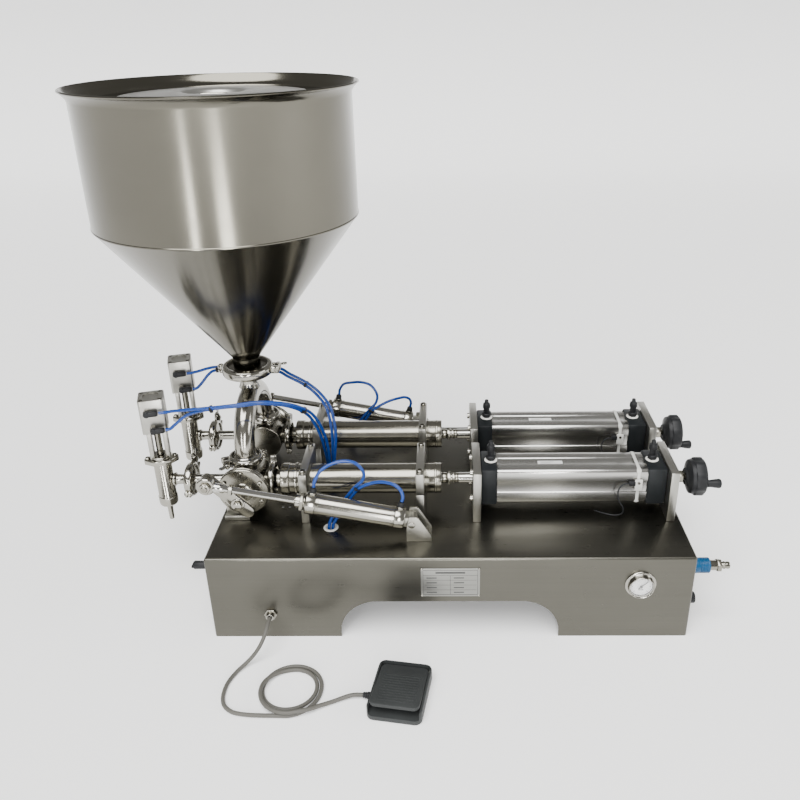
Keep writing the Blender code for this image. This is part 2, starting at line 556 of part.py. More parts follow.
def build_valve(name, y, out):
    along = {"at": (VALVE_X, y, AXIS_Z), "turn": (math.pi / 2 if out < 0 else -math.pi / 2, 0, 0)}
    disc_back = FACE - DISC_T
    body = turned(f"{name}_valve_body", [
        (0, -0.030), (PLUG_BORE, -0.030), (PLUG_BORE, FACE - 0.006), (STEM_R + GAP, FACE - 0.006),
        (STEM_R + GAP, FACE), (DISC_R - 0.001, FACE), (DISC_R, FACE - 0.001), (DISC_R, disc_back),
        (BODY_R, disc_back), (BODY_R, -BODY_END), (0, -BODY_END)], steps=24, look=STEEL, **along)
    y_low, y_high = sorted((y + out * (FACE + 0.003), y - out * 0.033))
    foot = box(f"{name}_valve_foot", (VALVE_X - 0.0395, y_low, TABLE_H + GAP),
               (VALVE_X + 0.0065, y_high, AXIS_Z - BODY_R + 0.012), 0.001)
    bottom_disc = AXIS_Z - DISC_R + 0.002
    clear = box(f"{name}_foot_relief",
                (VALVE_X - 0.05, y + out * FACE - 0.02, bottom_disc),
                (VALVE_X + 0.02, y + out * FACE + 0.02, 0.21))
    cut(foot, clear)
    join(body, foot)
    upright = {"at": (VALVE_X, y, 0)}
    join(body, turned(f"{name}_top_port", [
        (0, PORT_TOP), (FLANGE_R, PORT_TOP), (FLANGE_R, PORT_TOP - FLANGE_T),
        (PORT_R, PORT_TOP - FLANGE_T), (PORT_R, AXIS_Z + 0.029), (0, AXIS_Z + 0.029)], **upright))
    across = {"at": (0, y, AXIS_Z), "turn": ALONG_X}
    join(body, rod(f"{name}_barrel_port", PORT_R, VALVE_X + 0.029, NECK_X - GAP, **across))
    pipe_end = PIPE_JOINT_X + GAP
    join(body, turned(f"{name}_outlet_pipe", [
        (0, VALVE_X - 0.030), (PIPE_R, VALVE_X - 0.030), (PIPE_R, pipe_end + FLANGE_T),
        (FLANGE_R, pipe_end + FLANGE_T), (FLANGE_R, pipe_end), (0, pipe_end)], **across))
    cut(body, rod(f"{name}_top_bore", PORT_BORE, AXIS_Z + 0.010, 0.30, **upright))
    cut(body, rod(f"{name}_barrel_bore", PORT_BORE, VALVE_X + 0.010, -0.31, **across))
    cut(body, rod(f"{name}_outlet_bore", PIPE_BORE, -0.50, VALVE_X - 0.010, **across))
    tidy(body)
    plug = turned(f"{name}_valve_lever", [
        (0, LEVER_FACE - 0.001), (STEM_R, LEVER_FACE - 0.001), (STEM_R, FACE - 0.0063),
        (PLUG_R, FACE - 0.0063), (PLUG_R, -0.0297), (0, -0.0297)], steps=24, look=STEEL, **along)
    cut(plug, rod(f"{name}_plug_through", PORT_BORE - 0.001, -0.03, 0.03, at=(VALVE_X, y, AXIS_Z)))
    cut(plug, rod(f"{name}_plug_side", PORT_BORE - 0.001, 0, 0.03,
                  at=(VALVE_X, y, AXIS_Z), turn=ALONG_X))
    near, far = sorted((out * (LEVER_FACE - LEVER_T), out * LEVER_FACE))
    bar = box(f"{name}_lever_bar", (-0.034, near, -LEVER_W / 2), (LEVER_R + 0.015, far, LEVER_W / 2), 0.001,
              at=(VALVE_X, y, AXIS_Z), turn=(0, -LEVER_ANGLE, 0))
    join(plug, bar)
    bolt = rod(f"{name}_stem_bolt", 0.009, LEVER_FACE - 0.002, LEVER_FACE + 0.009, steps=6, **along)
    tidy(join(plug, bolt))


def swing_geometry():
    """Tilt and length of the valve cylinder at rest and with the lever turned by 90 degrees."""
    states = []
    for angle in (LEVER_ANGLE, LEVER_ANGLE - math.pi / 2):
        x = VALVE_X + LEVER_R * math.cos(angle) - SWING_X
        z = AXIS_Z + LEVER_R * math.sin(angle) - SWING_Z
        states.append((math.atan2(z, -x), math.hypot(x, z)))
    return states


def build_valve_cylinder(name, y, out):
    tilt, reach = swing_geometry()[0]
    plane = y + out * SWING_OFFSET
    place = {"at": (SWING_X, plane, SWING_Z), "turn": (0, tilt - math.pi / 2, 0)}
    base_left, base_right = -0.0759, -0.0306
    cheek = [(base_left, TABLE_H + GAP), (base_right, TABLE_H + GAP), (base_right, TABLE_H + 0.012),
             (SWING_X + 0.013, SWING_Z + 0.013), (SWING_X + 0.004, SWING_Z + 0.018),
             (base_left + 0.005, SWING_Z + 0.016), (base_left, SWING_Z - 0.010)]
    bracket = box(f"{name}_valve_cylinder_bracket", (base_left + 0.0005, plane - 0.0165, TABLE_H + 2 * GAP),
                  (base_right - 0.0005, plane + 0.0165, TABLE_H + 0.0043), look=STEEL)
    for side in (-1, 1):
        low, high = sorted((plane + side * 0.0175, plane + side * 0.0135))
        join(bracket, plate(f"{name}_cheek_{side}", cheek, low, high))
    join(bracket, rod(f"{name}_swing_pin", 0.0040, -0.0195, 0.0195, steps=12,
                      at=(SWING_X, plane, SWING_Z), turn=ALONG_Y))
    caps = {"rear": (REAR_CAP, BARREL_SPAN[0]), "front": (BARREL_SPAN[1], FRONT_CAP)}
    body = turned(f"{name}_valve_cylinder", [
        (0, NOSE_END), (0.0125, NOSE_END), (0.0135, NOSE_END - 0.001), (0.0135, FRONT_CAP - 0.002),
        (SWING_BARREL_R, FRONT_CAP - 0.003), (SWING_BARREL_R, REAR_CAP + 0.003), (0, REAR_CAP + 0.003)],
        look=STEEL, **place)
    for side, (low, high) in caps.items():
        join(body, box(f"{name}_{side}_swing_cap", (-0.0195, -0.0195, low), (0.0205, 0.0195, high), 0.003,
                       **place))
        middle = (low + high) / 2
        spigot = {"at": Matrix.Rotation(tilt - math.pi / 2, 4, "Y") @ Vector((0, 0, middle))
                  + Vector((SWING_X, plane, SWING_Z)), "turn": (0, tilt, 0)}
        join(body, turned(f"{name}_{side}_fitting", [
            (0, 0.0340), (0.0045, 0.0340), (0.0058, 0.0325), (0.0058, 0.0270), (0.0090, 0.0260),
            (0.0090, 0.0180), (0, 0.0180)], steps=10, **spigot))
    join(body, box(f"{name}_lug", (-0.009, -0.0130, -0.002), (0.009, 0.0130, REAR_CAP + 0.004), **place))
    join(body, rod(f"{name}_lug_eye", 0.0095, -0.0130, 0.0130, steps=12,
                   at=(SWING_X, plane, SWING_Z), turn=ALONG_Y))
    cut(body, rod(f"{name}_lug_hole", 0.0045, -0.03, 0.03, steps=12,
                  at=(SWING_X, plane, SWING_Z), turn=ALONG_Y))
    cut(body, rod(f"{name}_swing_bore", SWING_BORE, 0.030, 0.178, **place))
    tidy(cut(body, rod(f"{name}_nose_bore", SWING_ROD_R + GAP, 0.17, 0.22, **place)))
    stroke_rod = turned(f"{name}_valve_cylinder_rod", [
        (0, reach - 0.010), (0.0080, reach - 0.010), (0.0085, reach - 0.032), (SWING_ROD_R, reach - 0.033),
        (SWING_ROD_R, 0.1640), (SWING_PISTON_R, 0.1640), (SWING_PISTON_R, 0.1500), (0, 0.1500)],
        look=STEEL, **place)
    join(stroke_rod, rod(f"{name}_rod_nut", 0.0105, reach - 0.048, reach - 0.040, steps=6, **place))
    eye = Matrix.Rotation(tilt - math.pi / 2, 4, "Y") @ Vector((0, 0, reach))
    eye_at = {"at": eye + Vector((SWING_X, plane, SWING_Z)),
              "turn": ALONG_Y if out > 0 else (math.pi / 2, 0, 0)}
    join(stroke_rod, rod(f"{name}_rod_eye", 0.0165, -0.007, 0.007, steps=18, **eye_at))
    bolt_start = LEVER_FACE + GAP - SWING_OFFSET
    join(stroke_rod, rod(f"{name}_eye_bolt", 0.0060, bolt_start, 0.016, steps=10, **eye_at))
    tidy(join(stroke_rod, rod(f"{name}_eye_nut", 0.0105, 0.0065, 0.013, steps=6, **eye_at)))


def build_nozzle(name, y):
    upright = {"at": (NOZZLE_X, y, 0)}
    turned_place = {"at": (NOZZLE_X, y, 0), "turn": (0, 0, NOZZLE_TURN)}
    across = {"at": (0, y, AXIS_Z), "turn": ALONG_X}
    body = turned(f"{name}_nozzle_body", [
        (0, NOZZLE_TOP + 0.006), (NOZZLE_R, NOZZLE_TOP + 0.006), (NOZZLE_R, NOZZLE_BASE + 0.001),
        (0.0178, NOZZLE_BASE), (0.0178, 0.184), (0.0160, 0.181), (0.0055, 0.1805),
        (0.0048, TIP_END), (0, TIP_END)], look=STEEL, **upright)
    flange = plate(f"{name}_nozzle_ears", [
        (sx * x, sz * z) for sx, sz, x, z in (
            (1, -1, EAR_HALF + 0.009, 0.004), (1, 1, EAR_HALF + 0.009, 0.004), (1, 1, 0.014, 0.0175),
            (-1, 1, 0.014, 0.0175), (-1, 1, EAR_HALF + 0.009, 0.004), (-1, -1, EAR_HALF + 0.009, 0.004),
            (-1, -1, 0.014, 0.0175), (1, -1, 0.014, 0.0175))],
        -0.005, 0.005, at=(NOZZLE_X, y, NOZZLE_TOP + 0.005), turn=(math.pi / 2, 0, NOZZLE_TURN))
    join(body, flange)
    join(body, clamp_socket(f"{name}_side_pipe", PIPE_R, NOZZLE_X + 0.004, PIPE_JOINT_X, PIPE_R, **across))
    cut(body, rod(f"{name}_body_bore", NOZZLE_BORE, 0.1995, 0.30, **upright))
    cut(body, rod(f"{name}_side_bore", PIPE_BORE, NOZZLE_X, -0.47, **across))
    tidy(cut(body, rod(f"{name}_tip_bore", 0.0032, 0.13, 0.21, steps=10, **upright)))
    top = NOZZLE_TOP + 0.010 + GAP
    half = NOZZLE_CYL_SIZE / 2
    cylinder = box(f"{name}_nozzle_cylinder", (-half, -half, NOZZLE_CYL_Z),
                   (half, half, NOZZLE_CYL_Z + NOZZLE_CYL_H), 0.0035, look=ALUMINIUM, **turned_place)
    for side in (-1, 1):
        join(cylinder, box(f"{name}_post_{side}", (side * 0.014 - 0.0045, -0.010, top),
                           (side * 0.014 + 0.0045, 0.010, NOZZLE_CYL_Z + 0.004), 0.002, **turned_place))
    join(cylinder, rod(f"{name}_post_foot", 0.0185, top, top + 0.006, **turned_place))
    swivel = Matrix.Rotation(NOZZLE_TURN, 3, "Z")
    for low, x in ((NOZZLE_CYL_Z + 0.010, -0.002), (NOZZLE_CYL_Z + 0.045, -0.009)):
        port = Vector((NOZZLE_X, y, low))
        join(cylinder, rod(f"{name}_elbow_{low:.3f}", 0.0060, half - 0.003, half + 0.014, steps=8,
                           at=port + swivel @ Vector((x, 0, 0)), turn=(math.pi / 2, 0, NOZZLE_TURN)))
        join(cylinder, rod(f"{name}_elbow_arm_{low:.3f}", 0.0055, x, x + 0.020, steps=8,
                           at=port + swivel @ Vector((0, -half - 0.009, 0)),
                           turn=(0, math.pi / 2, NOZZLE_TURN)))
    bore = rod(f"{name}_nozzle_cyl_bore", 0.0160, NOZZLE_CYL_Z + 0.006, NOZZLE_CYL_Z + 0.055, **upright)
    cut(cylinder, bore)
    tidy(cut(cylinder, rod(f"{name}_nozzle_rod_bore", 0.0063, 0.27, NOZZLE_CYL_Z + 0.02, **upright)))
    turned(f"{name}_nozzle_plunger", [
        (0, 0.360), (0.0157, 0.360), (0.0157, 0.352), (0.0060, 0.352), (0.0060, 0.206),
        (0.0040, 0.1998), (0, 0.1998)], look=STEEL, **upright)


def hose_pair(name, routes, ties):
    """Two air hoses held side by side by ties, as one solid."""
    pair = tube(name, routes[0], HOSE_R, look=BLUE)
    join(pair, tube(f"{name}_second", routes[1], HOSE_R))
    for index, (x, y, z) in enumerate(ties):
        join(pair, box(f"{name}_tie_{index}", (x - 0.0035, y - 0.0085, z - 0.0085),
                       (x + 0.0035, y + 0.0085, z + 0.0085)))
    tidy(pair)


FRONT_NOZZLE_ROUTES = (
    ((-0.5202, 0.1419, 0.388), (-0.5115, 0.1444, 0.388), (-0.497, 0.1430, 0.391), (-0.468, 0.134, 0.398),
     (-0.421, 0.130, 0.404), (-0.376, 0.128, 0.410), (-0.331, 0.133, 0.413), (-0.290, 0.150, 0.401),
     (-0.263, 0.180, 0.375), (-0.249, 0.205, 0.344), (-0.239, 0.228, 0.296), (-0.236, 0.243, 0.250),
     (-0.237, 0.2495, 0.210), (-0.2385, 0.2525, 0.180), (-0.2385, 0.2525, 0.150)),
    ((-0.5134, 0.1439, 0.353), (-0.5047, 0.1464, 0.354), (-0.492, 0.1455, 0.365), (-0.463, 0.138, 0.388),
     (-0.421, 0.1348, 0.3992), (-0.376, 0.1330, 0.4052), (-0.331, 0.1380, 0.4080), (-0.2935, 0.1545, 0.3955),
     (-0.2685, 0.1825, 0.3695), (-0.2560, 0.2065, 0.339), (-0.2465, 0.2290, 0.292), (-0.2440, 0.2475, 0.250),
     (-0.2410, 0.2570, 0.212), (-0.2385, 0.2600, 0.180), (-0.2385, 0.2600, 0.150)),
)
REAR_NOZZLE_ROUTES = (
    ((-0.5202, 0.3159, 0.388), (-0.5115, 0.3184, 0.388), (-0.495, 0.3160, 0.393), (-0.476, 0.3125, 0.400),
     (-0.456, 0.312, 0.4035), (-0.400, 0.3125, 0.404), (-0.337, 0.310, 0.402), (-0.310, 0.301, 0.392),
     (-0.276, 0.291, 0.377), (-0.252, 0.281, 0.361), (-0.233, 0.272, 0.338), (-0.2255, 0.2655, 0.312),
     (-0.2225, 0.260, 0.277), (-0.2275, 0.255, 0.226), (-0.2315, 0.2525, 0.190), (-0.2315, 0.2525, 0.150)),
    ((-0.5134, 0.3179, 0.353), (-0.5047, 0.3204, 0.354), (-0.492, 0.3190, 0.367), (-0.474, 0.314, 0.388),
     (-0.456, 0.3125, 0.3965), (-0.400, 0.313, 0.397), (-0.341, 0.311, 0.395), (-0.3145, 0.3025, 0.3855),
     (-0.281, 0.293, 0.371), (-0.258, 0.2835, 0.355), (-0.2405, 0.2755, 0.333), (-0.2335, 0.270, 0.308),
     (-0.2305, 0.2655, 0.275), (-0.2315, 0.262, 0.226), (-0.2315, 0.260, 0.190), (-0.2315, 0.260, 0.150)),
)
VALVE_HOSE_ROUTES = (
    ((-0.2375, 0.0675, 0.2785), (-0.2351, 0.0675, 0.2902), (-0.225, 0.075, 0.306), (-0.207, 0.085, 0.314),
     (-0.186, 0.090, 0.317), (-0.165, 0.093, 0.311), (-0.152, 0.096, 0.291), (-0.155, 0.098, 0.272),
     (-0.169, 0.100, 0.257), (-0.187, 0.100, 0.234), (-0.205, 0.098, 0.208), (-0.2175, 0.0955, 0.188),
     (-0.2210, 0.0945, 0.172), (-0.2210, 0.0945, 0.152)),
    ((-0.0829, 0.0675, 0.2473), (-0.0811, 0.0675, 0.2565), (-0.0845, 0.071, 0.2675), (-0.095, 0.0775, 0.2745),
     (-0.111, 0.086, 0.275), (-0.128, 0.092, 0.272), (-0.147, 0.097, 0.264), (-0.1643, 0.100, 0.2523),
     (-0.1805, 0.100, 0.2300), (-0.1975, 0.098, 0.2045), (-0.2100, 0.0955, 0.186), (-0.2140, 0.0945, 0.172),
     (-0.2140, 0.0945, 0.152)),
)


def build_hoses():
    hose_pair("front_nozzle_hoses", FRONT_NOZZLE_ROUTES, [(-0.421, 0.1324, 0.4016), (-0.266, 0.181, 0.3725)])
    hose_pair("rear_nozzle_hoses", REAR_NOZZLE_ROUTES, [(-0.456, 0.3122, 0.400), (-0.2785, 0.292, 0.374)])
    hose_pair("front_valve_hoses", VALVE_HOSE_ROUTES, [(-0.1667, 0.100, 0.2547)])
    mirrored = [[(x, 2 * MID_Y - y, z) for x, y, z in route] for route in VALVE_HOSE_ROUTES]
    hose_pair("rear_valve_hoses", mirrored, [(-0.1667, 2 * MID_Y - 0.100, 0.2547)])


# ---------------------------------------------------------------- pedal and cord

CORD_LEAD = (
    (-0.3224, -0.0131, 0.0531), (-0.3224, -0.0290, 0.0528), (-0.3260, -0.0390, 0.0440),
    (-0.3310, -0.0440, 0.0335), (-0.3375, -0.0475, 0.0215), (-0.3455, -0.0520, 0.0115),
    (-0.3545, -0.0595, 0.0055), (-0.3630, -0.0700, 0.0038), (-0.3710, -0.0870, 0.0037),
    (-0.3780, -0.1150, 0.0037), (-0.3795, -0.1420, 0.0037), (-0.3730, -0.1640, 0.0037),
    (-0.3560, -0.1785, 0.0037), (-0.3320, -0.1840, 0.0037), (-0.3050, -0.1857, 0.0037),
    (-0.2762, -0.1868, 0.0037),
)
CORD_TAIL = (
    (-0.2457, -0.1830, 0.0037), (-0.2320, -0.1770, 0.0037), (-0.2120, -0.1672, 0.0037),
    (-0.1930, -0.1572, 0.0040), (-0.1750, -0.1475, 0.0055), (-0.1600, -0.1430, 0.0069),
    (-0.1428, -0.1457, 0.0070),
)


def build_pedal():
    place = {"at": (PEDAL_X, PEDAL_Y, 0), "turn": (0, 0, PEDAL_TURN)}
    half_w, half_d = PEDAL_W / 2, PEDAL_D / 2
    base = box("pedal_base", (-half_w, -half_d, 0), (half_w, half_d, 0.024), 0.004, look=PEDAL_GREY, **place)
    cut(base, box("pedal_well", (-half_w + 0.004, -half_d - 0.01, 0.010),
                  (half_w - 0.004, half_d - 0.004, 0.04), **place))
    boot = [(0, 0.058), (0.0045, 0.058), (0.0065, 0.044), (0, 0.044)]
    inward = {"at": Vector((PEDAL_X, PEDAL_Y, 0.007))
              + Matrix.Rotation(PEDAL_TURN, 3, "Z") @ Vector((0, -0.012, 0)),
              "turn": (0, -math.pi / 2, PEDAL_TURN)}
    join(base, turned("pedal_boot", boot, steps=12, **inward))
    hinge_y, hinge_z = half_d - 0.012, 0.0165
    swivel = Matrix.Rotation(PEDAL_TURN, 3, "Z")
    hinge = Vector((PEDAL_X, PEDAL_Y, hinge_z)) + swivel @ Vector((0, hinge_y, 0))
    across = {"at": hinge, "turn": (0, math.pi / 2, PEDAL_TURN)}
    tidy(cut(base, rod("pedal_pin_hole", 0.0027, -0.05, 0.05, steps=10, **across)))
    tilt = math.radians(-7)
    treadle = box("pedal_treadle", (-half_w + 0.0045, -0.096, -0.0028),
                  (half_w - 0.0045, 0.006, 0.0042), 0.0015, look=PEDAL_GREY, at=hinge,
                  turn=(tilt, 0, PEDAL_TURN))
    tidy(join(treadle, rod("pedal_pin", 0.0022, -half_w + 0.001, half_w - 0.001, steps=10, **across)))
    for name, route in (("cord_lead", CORD_LEAD), ("cord_tail", CORD_TAIL)):
        add(name, cord_curve(name, smooth_route(route, 0.016), CORD_R, 8), look=GREY)
    turned("cord_coil", [
        (COIL_OUT - 0.003, COIL_H), (COIL_OUT, COIL_H - 0.003), (COIL_OUT, 0.003), (COIL_OUT - 0.003, 0.0002),
        (COIL_IN + 0.003, 0.0002), (COIL_IN, 0.003), (COIL_IN, COIL_H - 0.003), (COIL_IN + 0.003, COIL_H)],
        ring=True, steps=24, look=GREY, at=(COIL_X, COIL_Y, 0))


for line, line_y in LINE_Y.items():
    build_barrel(line, line_y)
    build_drive(line, line_y)
    build_valve(line, line_y, OUTWARD[line])
    build_valve_cylinder(line, line_y, OUTWARD[line])
    build_nozzle(line, line_y)
build_table()
build_gauge()
build_panel_fittings()
build_hopper()
build_manifold()
build_hoses()
build_pedal()
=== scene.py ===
"""Looks of a double-head piston liquid filler, built round its fixed frame.

Sizes are in metres in the table's own frame: X from the middle of the table, Y from its
front panel towards the back and Z up from the floor. The datum, read from the frame's
table, carries every finished piece to its place.
"""

from __future__ import annotations

import logging
from collections.abc import Sequence
from dataclasses import dataclass, field
from enum import Enum
from math import cos, hypot, pi, radians, sin

import bpy
from mathutils import Matrix, Vector

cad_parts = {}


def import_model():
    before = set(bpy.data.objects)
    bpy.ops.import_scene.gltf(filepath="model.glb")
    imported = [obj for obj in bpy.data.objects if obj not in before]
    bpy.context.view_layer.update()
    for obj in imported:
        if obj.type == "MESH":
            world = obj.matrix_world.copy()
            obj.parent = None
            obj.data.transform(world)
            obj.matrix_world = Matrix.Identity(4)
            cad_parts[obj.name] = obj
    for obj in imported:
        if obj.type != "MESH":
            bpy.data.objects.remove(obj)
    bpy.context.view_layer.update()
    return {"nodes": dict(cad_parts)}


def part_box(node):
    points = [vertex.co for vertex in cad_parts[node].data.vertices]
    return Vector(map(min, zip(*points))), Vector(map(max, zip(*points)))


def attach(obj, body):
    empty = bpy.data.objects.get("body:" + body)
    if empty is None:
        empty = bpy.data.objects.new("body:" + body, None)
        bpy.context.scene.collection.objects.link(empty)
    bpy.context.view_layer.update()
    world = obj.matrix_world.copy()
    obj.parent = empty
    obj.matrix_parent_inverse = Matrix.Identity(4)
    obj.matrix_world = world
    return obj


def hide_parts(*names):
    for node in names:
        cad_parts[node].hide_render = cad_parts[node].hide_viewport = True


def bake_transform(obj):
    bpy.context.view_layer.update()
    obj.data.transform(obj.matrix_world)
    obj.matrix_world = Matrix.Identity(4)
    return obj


LOG = logging.getLogger("filler")
Piece = bpy.types.Object
Outline = Sequence[tuple[float, float]]
Route = Sequence[tuple[float, float, float]]

UP = Vector((0, 0, 1))
RIGHT = Vector((1, 0, 0))
LEFT = Vector((-1, 0, 0))
FRONT = Vector((0, -1, 0))
BACK = Vector((0, 1, 0))
HERE = Matrix.Identity(4)
STAND = Matrix.Rotation(pi / 2, 4, "X")


class Side(Enum):
    """The two metering lines, with the way each one's lever faces."""

    FRONT = "front"
    REAR = "rear"

    @property
    def line_y(self) -> float:
        """Depth of the line's axis."""
        return 0.169 if self is Side.FRONT else 0.343

    @property
    def out(self) -> int:
        """Sign of the outward direction along Y."""
        return -1 if self is Side.FRONT else 1


class Grain(Enum):
    """How fast the brushed lines change along X, Y and Z."""

    LEVEL_RINGS = (2.5, 2.5, 420.0)
    ALONG_X = (3.0, 420.0, 420.0)
    ROUND_X = (420.0, 3.0, 3.0)
    ROUND_Y = (3.0, 420.0, 3.0)
    EVEN = (160.0, 160.0, 160.0)


# ---------------------------------------------------------------- finishes


class Number:
    """One socket's value, worked with like a number."""

    def __init__(self, tree: bpy.types.NodeTree, socket: bpy.types.NodeSocket) -> None:
        """Wrap a socket of a node tree."""
        self.tree = tree
        self.socket = socket

    def maths(self, operation: str, other: Number | float) -> Number:
        """Add a Math node.

        Args:
            operation: The Math node's operation.
            other: The second value, a link or a plain number.

        Returns:
            The node's result.
        """
        node = self.tree.nodes.new("ShaderNodeMath")
        node.operation = operation
        self.tree.links.new(self.socket, node.inputs[0])
        if isinstance(other, Number):
            self.tree.links.new(other.socket, node.inputs[1])
        else:
            node.inputs[1].default_value = other
        return Number(self.tree, node.outputs[0])

    def __add__(self, other: Number | float) -> Number:
        """Sum."""
        return self.maths("ADD", other)

    __radd__ = __add__

    def __mul__(self, other: Number | float) -> Number:
        """Product."""
        return self.maths("MULTIPLY", other)

    __rmul__ = __mul__


class Graph:
    """A material being put together."""

    def __init__(self, name: str) -> None:
        """Start a named material with its Principled shader."""
        self.material = bpy.data.materials.new(name)
        self.material.use_nodes = True
        self.tree = self.material.node_tree
        self.shader = self.tree.nodes["Principled BSDF"]

    def node(
            self, kind: str, settings: dict | None = None, values: dict | None = None,
            output: int | str = 0) -> Number:
        """Add any node.

        Args:
            kind: The node's type.
            settings: Attributes set before the inputs.
            values: Input sockets by name or number, each a link or a plain value.
            output: Which output to return.

        Returns:
            The chosen output.
        """
        node = self.tree.nodes.new(kind)
        for key, value in (settings or {}).items():
            setattr(node, key, value)
        for key, value in (values or {}).items():
            if isinstance(value, Number):
                self.tree.links.new(value.socket, node.inputs[key])
            else:
                node.inputs[key].default_value = value
        return Number(self.tree, node.outputs[output])

    def noise(self, stretch: tuple[float, float, float], detail: float = 2.0) -> Number:
        """Noise on the piece's own coordinates.

        Args:
            stretch: How fast it changes along X, Y and Z.
            detail: Octaves of finer noise.

        Returns:
            The noise, about 0.5 in the middle.
        """
        place = self.node("ShaderNodeTexCoord", output="Object")
        scaled = self.node("ShaderNodeMapping", values={"Vector": place, "Scale": stretch})
        return self.node("ShaderNodeTexNoise", values={"Vector": scaled, "Scale": 1.0, "Detail": detail})

    def blend(self, factor: Number, low: tuple, high: tuple) -> Number:
        """A colour between two, by a factor."""
        return self.node(
            "ShaderNodeMix", {"data_type": "RGBA"}, {0: factor, 6: (*low, 1), 7: (*high, 1)}, output=2)

    def feed(self, socket: str, value: Number | float | tuple) -> None:
        """Give one of the shader's sockets a link or a plain value."""
        if isinstance(value, Number):
            self.tree.links.new(value.socket, self.shader.inputs[socket])
        else:
            self.shader.inputs[socket].default_value = value

    def bump(self, height: Number, strength: float, distance: float) -> None:
        """Raise the surface by a height pattern."""
        normal = self.node(
            "ShaderNodeBump",
            values={"Height": height, "Strength": strength, "Distance": distance})
        self.feed("Normal", normal)


class Finish:
    """A finish that is made once and shared."""

    name: str

    def build(self, graph: Graph) -> None:
        """Put the finish's nodes in a graph."""
        raise NotImplementedError

    def material(self) -> bpy.types.Material:
        """The finish's material, made at first use."""
        found = bpy.data.materials.get(self.name)
        if found:
            return found
        graph = Graph(self.name)
        self.build(graph)
        return graph.material


@dataclass(frozen=True)
class Metal(Finish):
    """Brushed, turned or polished bare metal."""

    name: str
    colour: tuple[float, float, float]
    roughness: float
    grain: Grain
    lines: float = 0.5
    smudge: float = 0.1
    coat: float = 0.0

    def build(self, graph: Graph) -> None:
        """Brushed lines, faint stains and soft handling marks."""
        lines = graph.noise(self.grain.value, 3.0)
        stains = graph.noise((7.0, 7.0, 7.0), 4.0)
        marks = graph.noise((38.0, 38.0, 38.0), 3.0)
        dark = tuple(0.8 * part for part in self.colour)
        light = tuple(min(1.0, 1.18 * part) for part in self.colour)
        worn = lines * (0.55 * self.lines) + stains * 0.6 + (0.5 - 0.275 * self.lines - 0.3)
        graph.feed("Base Color", graph.blend(worn, dark, light))
        graph.feed("Metallic", 1.0)
        rough = lines * (0.16 * self.lines) + marks * self.smudge + (
            self.roughness - 0.08 * self.lines - 0.5 * self.smudge)
        graph.feed("Roughness", rough)
        graph.feed("Coat Weight", self.coat)
        graph.bump(lines, 0.1 * self.lines, 0.0002)


@dataclass(frozen=True)
class Moulded(Finish):
    """Plastic, rubber or paint with a fine surface."""

    name: str
    colour: tuple[float, float, float]
    roughness: float
    texture: float = 900.0
    relief: float = 0.12
    coat: float = 0.0
    gloss: float = 0.22

    def build(self, graph: Graph) -> None:
        """Fine moulded texture with dust and rubbed places."""
        fine = graph.noise((self.texture, self.texture, self.texture), 2.0)
        dust = graph.noise((16.0, 16.0, 16.0), 5.0)
        light = tuple(min(1.0, 1.35 * part + 0.004) for part in self.colour)
        dark = tuple(0.78 * part for part in self.colour)
        graph.feed("Base Color", graph.blend(dust * 0.8 + fine * 0.2, dark, light))
        graph.feed("Roughness", dust * 0.16 + fine * 0.06 + (self.roughness - 0.11))
        graph.feed("Coat Weight", self.coat)
        graph.feed("Specular IOR Level", self.gloss)
        graph.bump(fine, self.relief, 0.0004)


@dataclass(frozen=True)
class ClearPane(Finish):
    """The thin window of the pressure gauge."""

    name: str = "gauge_window"

    def build(self, graph: Graph) -> None:
        """Nearly clear and glossy, with a breath of dust."""
        dust = graph.noise((120.0, 120.0, 120.0), 3.0)
        graph.feed("Base Color", (0.95, 0.96, 0.95, 1))
        graph.feed("Roughness", dust * 0.05 + 0.02)
        graph.feed("Alpha", dust * 0.04 + 0.08)


@dataclass(frozen=True)
class Ground(Finish):
    """The pale studio floor."""

    name: str = "studio_ground"

    def build(self, graph: Graph) -> None:
        """Plain and matt."""
        graph.feed("Base Color", (0.95, 0.95, 0.945, 1))
        graph.feed("Roughness", 0.9)
        graph.feed("Emission Color", (1.0, 1.0, 0.995, 1))
        graph.feed("Emission Strength", 0.17)


HOPPER_STEEL = Metal("hopper_steel", (0.135, 0.128, 0.106), 0.165, Grain.LEVEL_RINGS, 0.3, 0.05)
LID_STEEL = Metal("lid_steel", (0.5, 0.495, 0.47), 0.34, Grain.EVEN, 0.3, 0.08)
SHEET_STEEL = Metal("sheet_steel", (0.108, 0.104, 0.088), 0.3, Grain.ALONG_X, 0.6, 0.1)
TURNED_X = Metal("turned_steel_x", (0.255, 0.244, 0.208), 0.19, Grain.ROUND_X, 0.6)
TURNED_Y = Metal("turned_steel_y", (0.255, 0.244, 0.208), 0.22, Grain.ROUND_Y, 0.6)
TURNED_Z = Metal("turned_steel_z", (0.255, 0.244, 0.208), 0.19, Grain.LEVEL_RINGS, 0.6)
POLISHED = Metal("polished_steel", (0.34, 0.328, 0.29), 0.15, Grain.EVEN, 0.15, 0.08)
CHROMED = Metal("hard_chrome", (0.5, 0.49, 0.46), 0.1, Grain.ROUND_X, 0.25, 0.05)
CAST_STEEL = Metal("plate_steel", (0.33, 0.322, 0.285), 0.34, Grain.EVEN, 0.5, 0.12)
EXTRUSION = Metal("anodised_extrusion", (0.47, 0.465, 0.445), 0.25, Grain.ALONG_X, 0.1, 0.03)
MILLED = Metal("milled_aluminium", (0.38, 0.372, 0.34), 0.33, Grain.EVEN, 0.6, 0.12)
ENAMEL = Moulded("dark_enamel", (0.006, 0.0075, 0.0085), 0.42, 700.0, 0.1)
BLACK = Moulded("black_nylon", (0.009, 0.0095, 0.0105), 0.45, 900.0, 0.12)
